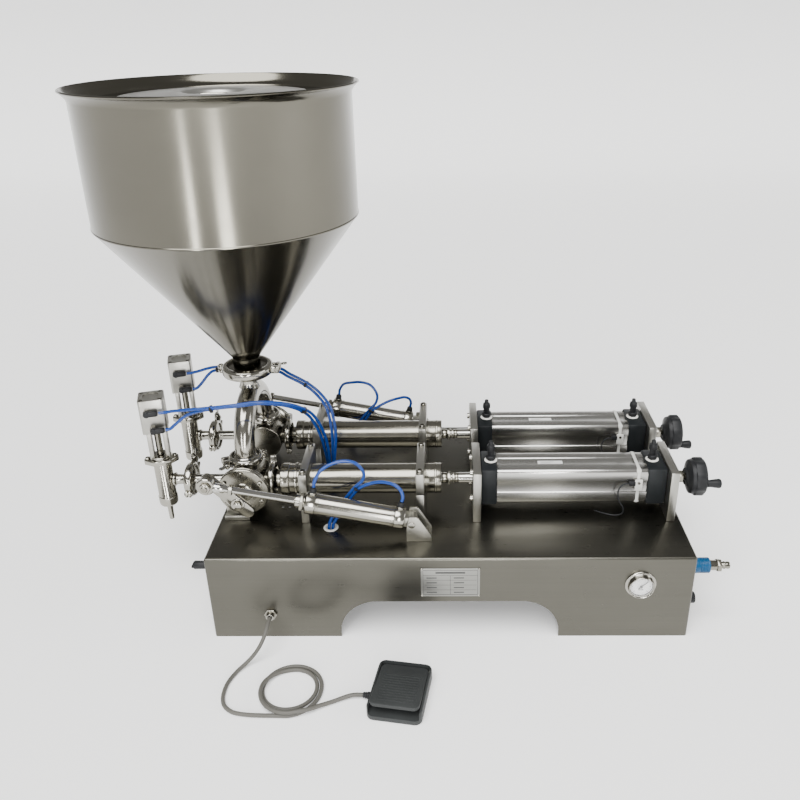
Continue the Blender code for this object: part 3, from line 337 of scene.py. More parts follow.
HOSE_BLUE = Moulded("blue_polyurethane", (0.006, 0.04, 0.215), 0.26, 500.0, 0.03, 0.3)
FITTING_BLUE = Moulded("blue_fitting", (0.004, 0.06, 0.15), 0.3, 700.0, 0.05, 0.2)
SHEATH = Moulded("grey_sheath", (0.085, 0.082, 0.072), 0.48, 800.0, 0.1)
PEDAL_SHELL = Moulded("pedal_shell", (0.024, 0.026, 0.026), 0.52, 700.0, 0.35)
DIAL_WHITE = Moulded("dial_white", (0.8, 0.8, 0.77), 0.4, 900.0, 0.02)
DIAL_BLACK = Moulded("dial_black", (0.02, 0.02, 0.02), 0.45, 900.0, 0.02)
LABEL = Moulded("blank_label", (0.62, 0.62, 0.6), 0.4, 900.0, 0.02)
NAMEPLATE = Metal("nameplate_metal", (0.25, 0.25, 0.232), 0.38, Grain.ALONG_X, 0.5, 0.1)
ETCHED = Moulded("etched_ink", (0.045, 0.045, 0.045), 0.55, 900.0, 0.02)
BAND = Moulded("pale_strap", (0.52, 0.52, 0.49), 0.38, 700.0, 0.04)
SEAL_WHITE = Moulded("ptfe_seal", (0.7, 0.69, 0.64), 0.45, 900.0, 0.05)


# ---------------------------------------------------------------- tools


def seat(at: Sequence[float], towards: Vector = UP, twist: float = 0.0) -> Matrix:
    """Where a piece stands.

    Args:
        at: Its origin in the table's frame.
        towards: The way its own Z points.
        twist: A turn about that axis first, in radians.

    Returns:
        The matrix from the piece to the table's frame.
    """
    turn = UP.rotation_difference(Vector(towards)).to_matrix().to_4x4()
    return Matrix.Translation(Vector(at)) @ turn @ Matrix.Rotation(twist, 4, "Z")


def lift(height: float) -> Matrix:
    """A step along a piece's own Z."""
    return Matrix.Translation((0, 0, height))


def mm(*stops: tuple[float, ...]) -> tuple[tuple[float, ...], ...]:
    """Points that are given in millimetres, in metres."""
    return tuple(tuple(value / 1000 for value in stop) for stop in stops)


def smooth(stops: Route, steps: int = 8) -> list[Vector]:
    """Points on a smooth curve through the stops.

    Args:
        stops: Points that the curve passes through.
        steps: Points from one stop to the next.

    Returns:
        The closer points, the first and last stops among them.
    """
    known = [Vector(stop) for stop in stops]
    ends = [known[0] * 2 - known[1], *known, known[-1] * 2 - known[-2]]
    points = []
    for a, b, c, d in zip(ends, ends[1:], ends[2:], ends[3:]):
        for step in range(steps):
            t = step / steps
            points.append(0.5 * (
                2 * b + (c - a) * t + (2 * a - 5 * b + 4 * c - d) * t ** 2
                    + (3 * b - 3 * c + d - a) * t ** 3))
    return [*points, known[-1]]


@dataclass
class Workshop:
    """The tools that shape pieces, and the datum that they are set out from."""

    datum: Vector
    made: list[str] = field(default_factory=list)

    def clear(self) -> None:
        """Leave edit mode and select nothing."""
        if bpy.context.object and bpy.context.object.mode != "OBJECT":
            bpy.ops.object.mode_set(mode="OBJECT")
        bpy.ops.object.select_all(action="DESELECT")

    def pick(self, *pieces: Piece) -> None:
        """Select pieces, the first one active."""
        self.clear()
        for piece in pieces:
            piece.select_set(True)
        bpy.context.view_layer.objects.active = pieces[0]

    def apply(self, piece: Piece, kind: str, **settings: object) -> None:
        """Add a modifier and apply it.

        Args:
            piece: The object that it shapes.
            kind: The modifier's type.
            **settings: The modifier's own settings.
        """
        self.pick(piece)
        modifier = piece.modifiers.new(kind.lower(), kind)
        for key, value in settings.items():
            setattr(modifier, key, value)
        bpy.ops.object.modifier_apply(modifier=modifier.name)

    def dress(
            self, piece: Piece, finish: Finish, place: Matrix, edge: float = 0.0,
            smooth_angle: float = 38.0) -> Piece:
        """Break a piece's edges, shade it, give it its finish and set it in place.

        Args:
            piece: The shaped object, at the origin.
            finish: What its surface is.
            place: Its seat in the table's frame.
            edge: Width of the broken edges, or nothing.
            smooth_angle: Edges sharper than this stay sharp, in degrees.

        Returns:
            The same object.
        """
        if edge:
            self.apply(
                piece, "BEVEL", width=edge, segments=2, limit_method="ANGLE", angle_limit=radians(40),
                harden_normals=False)
        self.pick(piece)
        bpy.ops.object.shade_smooth_by_angle(angle=radians(smooth_angle))
        piece.data.materials.clear()
        piece.data.materials.append(finish.material())
        piece.data.transform(place)
        piece.data.update()
        return piece

    def turned(
            self, outline: Outline, finish: Finish, place: Matrix, steps: int = 40, ring: bool = False,
            edge: float = 0.0005) -> Piece:
        """Spin an outline about its own Z.

        Args:
            outline: (radius, height) from the top down the outside.
            finish: What its surface is.
            place: Its seat.
            steps: Faces round it.
            ring: Whether the outline closes on itself.
            edge: Width of the broken edges.

        Returns:
            The turned piece.
        """
        self.clear()
        bpy.ops.mesh.primitive_plane_add(size=0.001)
        piece = bpy.context.object
        bpy.ops.object.mode_set(mode="EDIT")
        bpy.ops.mesh.select_mode(type="VERT")
        bpy.ops.mesh.select_all(action="SELECT")
        bpy.ops.mesh.merge(type="CENTER")
        stops = [*outline, outline[0]] if ring else list(outline)
        x, z = stops[0]
        bpy.ops.transform.translate(value=(x, 0, z))
        for radius, height in stops[1:]:
            bpy.ops.mesh.extrude_region_move(TRANSFORM_OT_translate={"value": (radius - x, 0, height - z)})
            x, z = radius, height
        bpy.ops.mesh.select_all(action="SELECT")
        bpy.ops.mesh.spin(steps=steps, angle=2 * pi, center=(0, 0, 0), axis=(0, 0, 1))
        bpy.ops.mesh.select_all(action="SELECT")
        bpy.ops.mesh.remove_doubles(threshold=0.000002)
        bpy.ops.mesh.normals_make_consistent(inside=False)
        bpy.ops.object.mode_set(mode="OBJECT")
        return self.dress(piece, finish, place, edge)

    def lathe(
            self, place: Matrix, finish: Finish, steps: int, *stops: tuple[float, float],
            ring: bool = False, edge: float = 0.0005) -> Piece:
        """Spin an outline about its own Z, its stops in millimetres.

        Args:
            place: Its seat.
            finish: What its surface is.
            steps: Faces round it.
            *stops: (radius, height) from the top down the outside.
            ring: Whether the outline closes on itself.
            edge: Width of the broken edges.

        Returns:
            The turned piece.
        """
        return self.turned(mm(*stops), finish, place, steps, ring, edge)

    def rod(
            self, radius: float, start: float, end: float, finish: Finish, place: Matrix, steps: int = 32,
            edge: float = 0.0005) -> Piece:
        """A round bar along its own Z, or a nut with six steps."""
        outline = [(0, end), (radius, end), (radius, start), (0, start)]
        return self.turned(outline, finish, place, steps, edge=edge)

    def block(
            self, low: Sequence[float], high: Sequence[float], finish: Finish, place: Matrix,
            edge: float = 0.001) -> Piece:
        """A milled block between two corners, its edges broken."""
        self.clear()
        low, high = Vector(low), Vector(high)
        bpy.ops.mesh.primitive_cube_add(size=1)
        piece = bpy.context.object
        bpy.ops.object.mode_set(mode="EDIT")
        bpy.ops.transform.resize(value=(high - low))
        bpy.ops.transform.translate(value=(low + high) / 2)
        bpy.ops.object.mode_set(mode="OBJECT")
        return self.dress(piece, finish, place, edge)

    def plate(
            self, outline: Outline, low: float, high: float, finish: Finish, place: Matrix,
            edge: float = 0.0006) -> Piece:
        """A flat outline in its own X and Y, thick from low to high.

        Args:
            outline: Corners, anticlockwise.
            low: Height of its underside.
            high: Height of its upper side.
            finish: What its surface is.
            place: Its seat.
            edge: Width of the broken edges.

        Returns:
            The plate.
        """
        self.clear()
        bpy.ops.mesh.primitive_circle_add(vertices=len(outline), fill_type="NGON")
        piece = bpy.context.object
        for vertex, (x, y) in zip(piece.data.vertices, outline):
            vertex.co = (x, y, low)
        bpy.ops.object.mode_set(mode="EDIT")
        bpy.ops.mesh.select_all(action="SELECT")
        bpy.ops.mesh.extrude_region_move(TRANSFORM_OT_translate={"value": (0, 0, high - low)})
        bpy.ops.mesh.select_all(action="SELECT")
        bpy.ops.mesh.normals_make_consistent(inside=False)
        bpy.ops.object.mode_set(mode="OBJECT")
        return self.dress(piece, finish, place, edge)

    def wire(self, stops: Route, radius: float, finish: Finish, steps: int = 8, sides: int = 12) -> Piece:
        """A round hose, wire or bent bar along stops in the table's frame.

        Args:
            stops: Points that its middle passes through.
            radius: Its radius.
            finish: What its surface is.
            steps: Rings from one stop to the next.
            sides: Faces round it.

        Returns:
            The wire as a mesh.
        """
        piece = self.curve("wire", smooth(stops, steps), radius, finish, sides)
        self.pick(piece)
        bpy.ops.object.convert(target="MESH")
        piece = bpy.context.object
        self.pick(piece)
        bpy.ops.object.shade_smooth_by_angle(angle=radians(50))
        return piece

    def curve(
            self, name: str, points: Sequence[Vector], radius: float, finish: Finish,
            sides: int = 12) -> Piece:
        """A round bar along points, still a curve."""
        data = bpy.data.curves.new(name, "CURVE")
        data.dimensions = "3D"
        data.bevel_depth = radius
        data.bevel_resolution = sides // 2 - 2
        data.use_fill_caps = True
        spline = data.splines.new("POLY")
        spline.points.add(len(points) - 1)
        for point, place in zip(spline.points, points):
            point.co = (*place, 1)
        piece = bpy.data.objects.new(name, data)
        bpy.context.scene.collection.objects.link(piece)
        data.materials.append(finish.material())
        return piece

    def repeat(self, piece: Piece, places: Sequence[Matrix]) -> list[Piece]:
        """Copies of a piece made at the origin, each with its own mesh; the piece itself is removed."""
        copies = []
        for place in places:
            copy = piece.copy()
            copy.data = piece.data.copy()
            copy.data.transform(place)
            bpy.context.scene.collection.objects.link(copy)
            copies.append(copy)
        bpy.data.objects.remove(piece)
        return copies

    def carve(self, piece: Piece, *cutters: Piece) -> Piece:
        """Cut shapes out of a piece; the cutters are used up."""
        for cutter in cutters:
            self.apply(piece, "BOOLEAN", operation="DIFFERENCE", solver="EXACT", object=cutter)
            bpy.data.objects.remove(cutter)
        self.pick(piece)
        bpy.ops.object.shade_smooth_by_angle(angle=radians(38))
        return piece

    def finish_piece(
            self, name: str, parts: Sequence[Piece], replaces: Sequence[str] = (), body: str = "root",
            slot: str = "stainless_steel") -> Piece:
        """Join parts into one named piece that rides on a body.

        Args:
            name: The piece's name.
            parts: Its meshes in the table's frame.
            replaces: Frame nodes that it stands for.
            body: The frame's body that carries it, or nothing to leave it unattached.
            slot: The name of a material slot; not used.

        Returns:
            The finished piece.
        """
        self.pick(*parts)
        if len(parts) > 1:
            bpy.ops.object.join()
        piece = bpy.context.object
        piece.name = name
        piece.data.name = name
        piece.data.transform(Matrix.Translation(self.datum))
        if body:
            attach(piece, body)
        if replaces:
            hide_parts(*replaces)
        self.made.append(name)
        LOG.info("%s on %s", name, body or "two bodies")
        return piece

    def cap_screw(self, radius: float, height: float) -> Piece:
        """A socket-head screw's head standing on the origin, with its hexagon recess."""
        key = radius * 0.55
        outline = [
            (0, height * 0.45), (key, height * 0.45), (key, height), (radius * 0.88, height),
            (radius, height * 0.88), (radius, 0), (0, 0)]
        return self.turned(outline, POLISHED, HERE, 18, edge=0)

    def hex_nut(self, radius: float, height: float, finish: Finish, place: Matrix) -> Piece:
        """A chamfered hexagon nut standing on its seat."""
        return self.turned([
            (0, height), (radius * 0.86, height), (radius, height * 0.88), (radius, height * 0.12),
            (radius * 0.86, 0), (0, 0)], finish, place, 6, edge=0.0002)


# ---------------------------------------------------------------- small shared pieces


def oval(width: float, depth: float, count: int = 20) -> list[tuple[float, float]]:
    """Corners of an oval of that full width and depth."""
    return [
        (width / 2 * cos(2 * pi * i / count), depth / 2 * sin(2 * pi * i / count))
        for i in range(count)]


def rounded(width: float, depth: float, radius: float, count: int = 5) -> list[tuple[float, float]]:
    """Corners of a rounded rectangle, anticlockwise."""
    points = []
    for quarter, (sx, sy) in enumerate(((1, 1), (-1, 1), (-1, -1), (1, -1))):
        for step in range(count + 1):
            angle = pi / 2 * (quarter + step / count)
            points.append((
                sx * (width / 2 - radius) + radius * cos(angle),
                sy * (depth / 2 - radius) + radius * sin(angle)))
    return points


@dataclass
class PipeClamp:
    """A two-piece pipe clamp: ring, hinge, ears, swing bolt and wing nut."""

    inner: float
    outer: float
    width: float
    bolted: bool = True

    def parts(self, shop: Workshop, place: Matrix) -> list[Piece]:
        """Build the clamp.

        Args:
            shop: The tools.
            place: Middle of the ring, Z along the pipe, X towards the wing nut.

        Returns:
            Its meshes.
        """
        half = self.width / 2
        rim = self.outer
        ring = shop.turned([
            (rim - 0.004, half), (rim - 0.0012, half * 0.8), (rim, half * 0.45), (rim, -half * 0.45),
            (rim - 0.0012, -half * 0.8), (rim - 0.004, -half), (self.inner, -half), (self.inner, half)],
            POLISHED, place, 44, ring=True)
        pieces = [ring]
        for hand in (-1, 1):
            ear = shop.plate(
                rounded(0.017, 0.0075, 0.0035), -half * 0.72, half * 0.72, POLISHED,
                place @ seat((rim + 0.0045, hand * 0.0075, 0)), 0.0008)
            pieces.append(ear)
        pieces.append(
            shop.rod(0.0042, -half * 0.9, half * 0.9, TURNED_Z, place @ seat((-rim - 0.0025, 0, 0)), 20))
        for low in (-half * 0.62, half * 0.18):
            pieces.append(shop.plate(
                oval(0.016, 0.014), low, low + half * 0.44, POLISHED, place @ seat((-rim - 0.001, 0, 0))))
        if self.bolted:
            pieces.extend(self.wing_nut(shop, place @ seat((rim + 0.007, 0, 0), BACK)))
        return pieces

    @staticmethod
    def wing_nut(shop: Workshop, place: Matrix) -> list[Piece]:
        """The swing bolt with its wing nut, Z along the bolt."""
        bolt = shop.rod(0.003, -0.013, 0.026, TURNED_Z, place, 18)
        hub = shop.lathe(
            place, POLISHED, 28, (3.4, 22.5), (5, 21.5), (6.8, 13), (7.2, 11.8), (3.4, 11.8), ring=True)
        wings = []
        for hand in (-1, 1):
            wing = shop.plate(
                oval(0.0125, 0.0105), -0.0012, 0.0012, POLISHED,
                place @ seat((hand * 0.0102, 0, 0.0215), FRONT) @ Matrix.Rotation(hand * 0.5, 4, "Z"),
                0.0006)
            wings.append(wing)
        return [bolt, hub, *wings]


@dataclass
class PushFitting:
    """A straight black push-in fitting on its steel hexagon."""

    reach: float = 0.034

    def parts(self, shop: Workshop, place: Matrix) -> list[Piece]:
        """The fitting, from its seat on the cylinder up to the hose's mouth."""
        top = self.reach
        return [
            shop.hex_nut(0.0078, 0.006, TURNED_Z, place @ lift(top - 0.0155)),
            shop.turned([
                (0.0034, top - 0.0005), (0.0048, top - 0.0008), (0.005, top - 0.003),
                (0.0062, top - 0.0034), (0.0062, top - 0.01), (0.0034, top - 0.01)],
                BLACK, place, 28, ring=True),]


# ---------------------------------------------------------------- table


@dataclass
class Table:
    """The folded sheet table with its panel fittings."""

    shop: Workshop
    width: float = 0.86
    depth: float = 0.488
    height: float = 0.173
    sheet: float = 0.002
    arch_half: float = 0.197
    arch_height: float = 0.08
    arch_radius: float = 0.068
    hose_holes: Outline = ((-0.2175, 0.0945), (-0.2175, 0.4175), (-0.235, 0.256))
    screw_holes: Outline = ((-0.319, 0.164), (-0.306, 0.164))
    gauge_at: tuple[float, float, float] = (0.336, 0, 0.1166)
    gland_at: tuple[float, float, float] = (-0.3224, 0, 0.0531)
    inlet_at: tuple[float, float, float] = (0, 0.05, 0.119)

    def housing(self) -> None:
        """The sheet box, its arches and its drilled holes."""
        shop = self.shop
        shop.clear()
        bpy.ops.mesh.primitive_cube_add(size=1)
        shell = bpy.context.object
        bpy.ops.object.mode_set(mode="EDIT")
        bpy.ops.transform.resize(value=(self.width, self.depth, self.height))
        bpy.ops.transform.translate(value=(0, self.depth / 2, self.height / 2))
        bpy.ops.mesh.select_all(action="DESELECT")
        bpy.ops.object.mode_set(mode="OBJECT")
        for face in shell.data.polygons:
            face.select = face.normal.z < -0.5
        bpy.ops.object.mode_set(mode="EDIT")
        bpy.ops.mesh.select_mode(type="FACE")
        bpy.ops.mesh.delete(type="FACE")
        bpy.ops.object.mode_set(mode="OBJECT")
        shop.apply(shell, "BEVEL", width=0.0045, segments=5, limit_method="ANGLE", angle_limit=1.0)
        shop.apply(shell, "SOLIDIFY", thickness=self.sheet, offset=-1, use_even_offset=True)
        outline = []
        for side in (-1, 1):
            for step in range(17):
                angle = pi / 2 * (step if side < 0 else 16 - step) / 16
                outline.append((
                    side * (self.arch_half - self.arch_radius + self.arch_radius * cos(angle)),
                    self.arch_height - self.arch_radius + self.arch_radius * sin(angle)))
        outline = [(self.arch_half, -0.01), *reversed(outline), (-self.arch_half, -0.01)]
        arch = shop.plate(outline, -0.55, 0.05, SHEET_STEEL, HERE @ STAND, 0)
        holes = [(0.0105, 0.15, 0.2, seat((x, y, 0)), 24) for x, y in self.hose_holes]
        holes += [(0.0032, 0.15, 0.2, seat((x, y, 0)), 16) for x, y in self.screw_holes]
        holes += [(0.0192, -0.01, 0.01, seat(self.gauge_at, BACK), 32),
                  (0.008, -0.01, 0.01, seat(self.gland_at, BACK), 24),
                  (0.0073, 0.42, 0.44, seat(self.inlet_at, RIGHT), 24),
                  (0.0068, -0.44, -0.42, seat((0, 0.03, 0.139), RIGHT), 24)]
        cutters = [arch, *(shop.rod(radius, low, high, SHEET_STEEL, place, steps, 0)
                           for radius, low, high, place, steps in holes)]
        shell = shop.carve(shell, *cutters)
        shell.data.materials.clear()
        shell.data.materials.append(SHEET_STEEL.material())
        shop.finish_piece("table_sheet", [shell], ["base_housing"])
        rings = [
            shop.lathe(
                seat((x, y, self.height)), SEAL_WHITE, 32, (9.8, 1.6), (13.5, 1.2), (14, 0.2), (8.6, 0.2),
                (8.6, 1.2), ring=True)
            for x, y in self.hose_holes]
        plug = shop.lathe(
            seat((0.43, 0.03, 0.063), RIGHT), BLACK, 36, (0, 14.5), (9, 14.5), (10.5, 13), (10.5, 4),
            (12.5, 3), (12.5, 0.2), (0, 0.2))
        shop.finish_piece("table_grommets", [*rings, plug], slot="black_plastic")

    def nameplate(self) -> None:
        """The riveted plate, with plain etched boxes instead of words."""
        shop = self.shop
        middle = Matrix.Translation((0.002, -0.0003, 0.1225)) @ STAND
        parts = [shop.plate(rounded(0.104, 0.061, 0.003), 0, 0.0008, NAMEPLATE, middle, 0.0002)]
        lines = [*mm((0, 26.5, 96, 0.7), (0, -26.5, 96, 0.7), (0, 15.5, 96, 0.5))]
        lines += [(0, 0.0155 - 0.0105 * row, 0.092, 0.0004) for row in range(1, 4)]
        for x, y, wide, tall in lines:
            parts.append(shop.block(
                (x - wide / 2, y - tall / 2, 0.0007), (x + wide / 2, y + tall / 2, 0.00095), ETCHED, middle,
                0))
        for x in (-0.048, 0.0, 0.048):
            parts.append(shop.block(
                (x - 0.0003, -0.0265, 0.0007), (x + 0.0003, 0.0155 if x == 0 else 0.0265, 0.00095), ETCHED,
                middle, 0))
        for row in range(4):
            for x in (-0.033, 0.015):
                y = 0.01 - 0.0105 * row
                parts.append(shop.block(
                    (x - 0.009, y - 0.001, 0.0007), (x + 0.009, y + 0.001, 0.00095), ETCHED, middle, 0))
        parts.append(shop.block((-0.026, 0.0195, 0.0007), (0.026, 0.0228, 0.00095), ETCHED, middle, 0))
        dome = shop.lathe(HERE, POLISHED, 16, (0, 1.6), (1, 1.4), (1.8, 0.6), (2, 0), (0, 0), edge=0)
        parts += shop.repeat(
            dome,
            [middle @ seat((sx * 0.0505, sy * 0.029, 0.0008)) for sx in (-1, 1) for sy in (-1, 1)])
        shop.finish_piece("nameplate", parts, slot="cast_aluminium")

    def gauge(self) -> None:
        """The panel gauge: bezel, dial with its marks, and window."""
        shop = self.shop
        place = seat(self.gauge_at, FRONT)
        case = shop.lathe(
            place, POLISHED, 64, (20, 6.6), (20, 10.5), (20.7, 11.9), (21.7, 12.2), (22.5, 11), (22.6, 4),
            (23.6, 2.6), (26.8, 2.2), (27.5, 1.6), (27.5, 0.3), (18.8, 0.3), (18.8, -21), (18, -22),
            (0, -22), (0, 4), (19.2, 4))
        shop.finish_piece("gauge_body", [case], ["gauge_case"])
        dial = [shop.rod(0.0192, 0.0042, 0.005, DIAL_WHITE, place, 48, 0)]
        upright = Matrix.Translation(self.gauge_at) @ STAND
        for step in range(31):
            angle = radians(225 - 9 * step)
            long = 0.0036 if step % 5 == 0 else 0.0019
            wide = 0.0004 if step % 5 == 0 else 0.0002
            dial.append(shop.block(
                (0.018 - long, -wide, 0.0049), (0.018, wide, 0.0052), DIAL_BLACK,
                upright @ Matrix.Rotation(angle, 4, "Z"), 0))
        dial.append(
            shop.block((-0.0045, -0.0086, 0.0049), (0.0045, -0.0072, 0.0052), DIAL_BLACK, upright, 0))
        shop.finish_piece("gauge_dial", dial)
        shop.finish_piece("gauge_glass", [shop.rod(0.0198, 0.009, 0.0098, ClearPane(), place, 48, 0)])

    def fittings(self) -> None:
        """Cable gland, air inlet with its slide valve, and selector switch."""
        shop = self.shop
        place = seat(self.gland_at, FRONT)
        gland = [
            shop.lathe(
                place, POLISHED, 36, (3.9, 12.2), (6.2, 12.2), (7.2, 11.2), (7.8, 6), (7.8, 0.2),
                (3.9, 0.2), ring=True),
            shop.hex_nut(0.0118, 0.0042, TURNED_Y, place @ lift(0.0003)),
            shop.lathe(place, BLACK, 28, (3.6, 12.4), (4.6, 12.3), (5, 10), (3.6, 10), ring=True)]
        shop.finish_piece("gland_form", gland, ["cable_gland"])
        across = seat(self.inlet_at, RIGHT)
        body = [
            shop.lathe(
                across, TURNED_X, 32, (0, 507), (3.4, 507), (6, 506.5), (7, 503), (6, 498.5), (7.2, 497.5),
                (7.2, 495.5), (6.2, 494.5), (6.2, 490), (0, 490)),
            shop.hex_nut(0.0122, 0.0085, TURNED_X, across @ lift(0.4825)),
            shop.lathe(across, TURNED_X, 40, (0, 483.5), (9.4, 483.5), (9.4, 439), (0, 439)),
            shop.hex_nut(0.0126, 0.0078, TURNED_X, across @ lift(0.4305)),
            shop.rod(0.0068, 0.4215, 0.431, TURNED_X, across, 24)]
        shop.finish_piece("air_valve_form", body, ["air_valve_body"])
        outline = [*mm((9.8, 469.8), (13, 469.8), (14.2, 468.6))]
        for groove in range(6):
            z = 0.4662 - groove * 0.0026
            outline += [(0.0142, z), (0.0134, z - 0.0006), (0.0134, z - 0.0012), (0.0142, z - 0.0018)]
        outline += mm((14.4, 446), (14.4, 440.2), (13.4, 439.1), (9.8, 439.1))
        sleeve = shop.turned(outline, FITTING_BLUE, across, 44, ring=True, edge=0.0002)
        shop.finish_piece(
            "slide_sleeve", [sleeve], ["air_valve_sleeve"], body="air_valve_sleeve", slot="blue_hose")
        left = seat((-0.43, 0.03, 0.139), LEFT)
        bezel = shop.lathe(
            left, TURNED_X, 36, (5.2, 5), (6.8, 5), (10.8, 4), (11.2, 2.8), (11.2, 0.3), (5.2, 0.3),
            ring=True)
        shop.finish_piece("selector_ring", [bezel], ["selector_bezel"])
        knob = [
            shop.lathe(left, BLACK, 32, (0, 28.5), (6.6, 28.5), (7.8, 26.8), (7.4, 5.4), (0, 5.4)),
            shop.block((-0.0022, -0.0074, 0.0275), (0.0022, 0.0074, 0.0315), BLACK, left, 0.0008)]
        shop.finish_piece(
            "selector_lever", knob, ["selector_knob"], body="selector_knob", slot="black_plastic")


# ---------------------------------------------------------------- hopper side


@dataclass
class Hopper:
    """The welded bowl, its loose lid, its clamp and the arched manifold."""

    shop: Workshop
    x: float = -0.38
    y: float = 0.256
    rim_z: float = 0.935
    rim_r: float = 0.2385
    wall_r: float = 0.226
    cone_top: float = 0.717
    ledge_z: float = 0.913
    ledge_r: float = 0.146
    outlet_z: float = 0.4255
    arch_z: float = 0.288
    port_top: float = 0.28

    def bowl(self) -> None:
        """Rolled rim, straight wall, seam, cone, outlet and inner ledge."""
        shop = self.shop
        place = seat((self.x, self.y, 0))
        rim = self.rim_z
        wall, edge, ledge = self.wall_r, self.rim_r, self.ledge_z
        outline = [
            (edge - 0.003, rim - 0.0003), (edge - 0.002, rim), (edge - 0.0006, rim - 0.0006),
            (edge, rim - 0.002), (edge - 0.0006, rim - 0.0034), (edge - 0.0022, rim - 0.0044),
            (edge - 0.0045, rim - 0.0062), (edge - 0.0085, rim - 0.0105), (wall + 0.0012, rim - 0.0146),
            (wall, rim - 0.018), (wall, self.cone_top + 0.0022), (wall + 0.0008, self.cone_top + 0.0012),
            (wall + 0.0008, self.cone_top - 0.0006), (wall - 0.0008, self.cone_top - 0.002),
            (0.0268, 0.4535), (0.0255, 0.45), (0.0255, 0.4305), (0.0275, 0.4303), (0.038, 0.43),
            (0.038, self.outlet_z), (0.024, self.outlet_z), (0.024, 0.451),
            (wall - 0.0022, self.cone_top - 0.0006), (wall - 0.0015, self.cone_top + 0.001),
            (wall - 0.0015, ledge - 0.0022), (self.ledge_r, ledge - 0.0022), (self.ledge_r, ledge),
            (wall - 0.0032, ledge), (wall - 0.0018, ledge + 0.0014), (wall - 0.0015, rim - 0.0185),
            (wall - 0.0004, rim - 0.0152), (edge - 0.01, rim - 0.0098), (edge - 0.0052, rim - 0.0048)]
        bowl = shop.turned(outline, HOPPER_STEEL, place, 128, ring=True, edge=0)
        shop.finish_piece("hopper_bowl", [bowl], ["hopper"])
        clamp = PipeClamp(0.0385, 0.048, 0.0195).parts(shop, seat((self.x, self.y, self.outlet_z - 0.0002)))
        shop.finish_piece("hopper_clamp_form", clamp, ["hopper_clamp"])

    def lid(self) -> None:
        """The pressed lid with its dish and bar."""
        shop = self.shop
        place = seat((self.x, self.y, 0))
        outline = mm(
            (0, 907.5), (36, 907.5), (41, 909.5), (47, 919), (52, 922), (59, 922.8), (80, 922.2),
            (149, 918.4), (154, 917.8), (156, 916.4), (156, 913.5), (154, 913.5), (153.6, 915.8),
            (58.5, 920.8), (47, 917.2), (40, 907.8), (35.5, 905.8), (0, 905.8))
        lid = shop.turned(outline, LID_STEEL, place, 96, edge=0)
        bar = shop.wire([
            (self.x + x, self.y, z) for x,
            z in (
                (-0.03, 0.907), (-0.0285, 0.912), (-0.023, 0.9155), (-0.012, 0.9168), (0.012, 0.9168),
                (0.023, 0.9155), (0.0285, 0.912), (0.03, 0.907))], 0.0036, POLISHED, 5, 14)
        shop.finish_piece("lid_form", [lid, bar], ["hopper_lid"], body="hopper_lid")

    def manifold(self) -> None:
        """Polished arch, its two clamped legs and the neck under the hopper."""
        shop = self.shop
        reach = (Side.REAR.line_y - Side.FRONT.line_y) / 2
        route = [(self.x, self.y - reach, self.port_top + 0.004)]
        route += [
            (self.x, self.y - reach * cos(pi * i / 24), self.arch_z + reach * sin(pi * i / 24))
            for i in range(25)]
        route.append((self.x, self.y + reach, self.port_top + 0.004))
        parts = [shop.wire(route, 0.019, POLISHED, 2, 40)]
        parts.append(shop.lathe(
            seat((self.x, self.y, 0)), POLISHED, 56, (21.5, 425.2), (38, 425.2), (38, 420.6), (22.5, 420.2),
            (20, 418), (18, 411), (17.2, 400), (18, 394.5), (20.5, 389), (13, 376), (13, 420), ring=True))
        for y in (self.y - reach, self.y + reach):
            place = seat((self.x, y, self.port_top))
            parts.append(shop.lathe(
                place, POLISHED, 44, (12, 0.3), (24.5, 0.3), (24.5, 4.5), (20.5, 6), (19.2, 8), (12, 8),
                ring=True))
            twist = radians(205 if y < self.y else 120)
            parts += PipeClamp(0.0256, 0.0318, 0.0155).parts(shop, place @ Matrix.Rotation(twist, 4, "Z"))
            parts.append(shop.lathe(
                place, POLISHED, 44, (18.8, 10.5), (20.2, 10), (20.2, 8.5), (18.8, 8), ring=True, edge=0))
        shop.finish_piece("manifold_form", parts, ["manifold"])


# ---------------------------------------------------------------- metering line


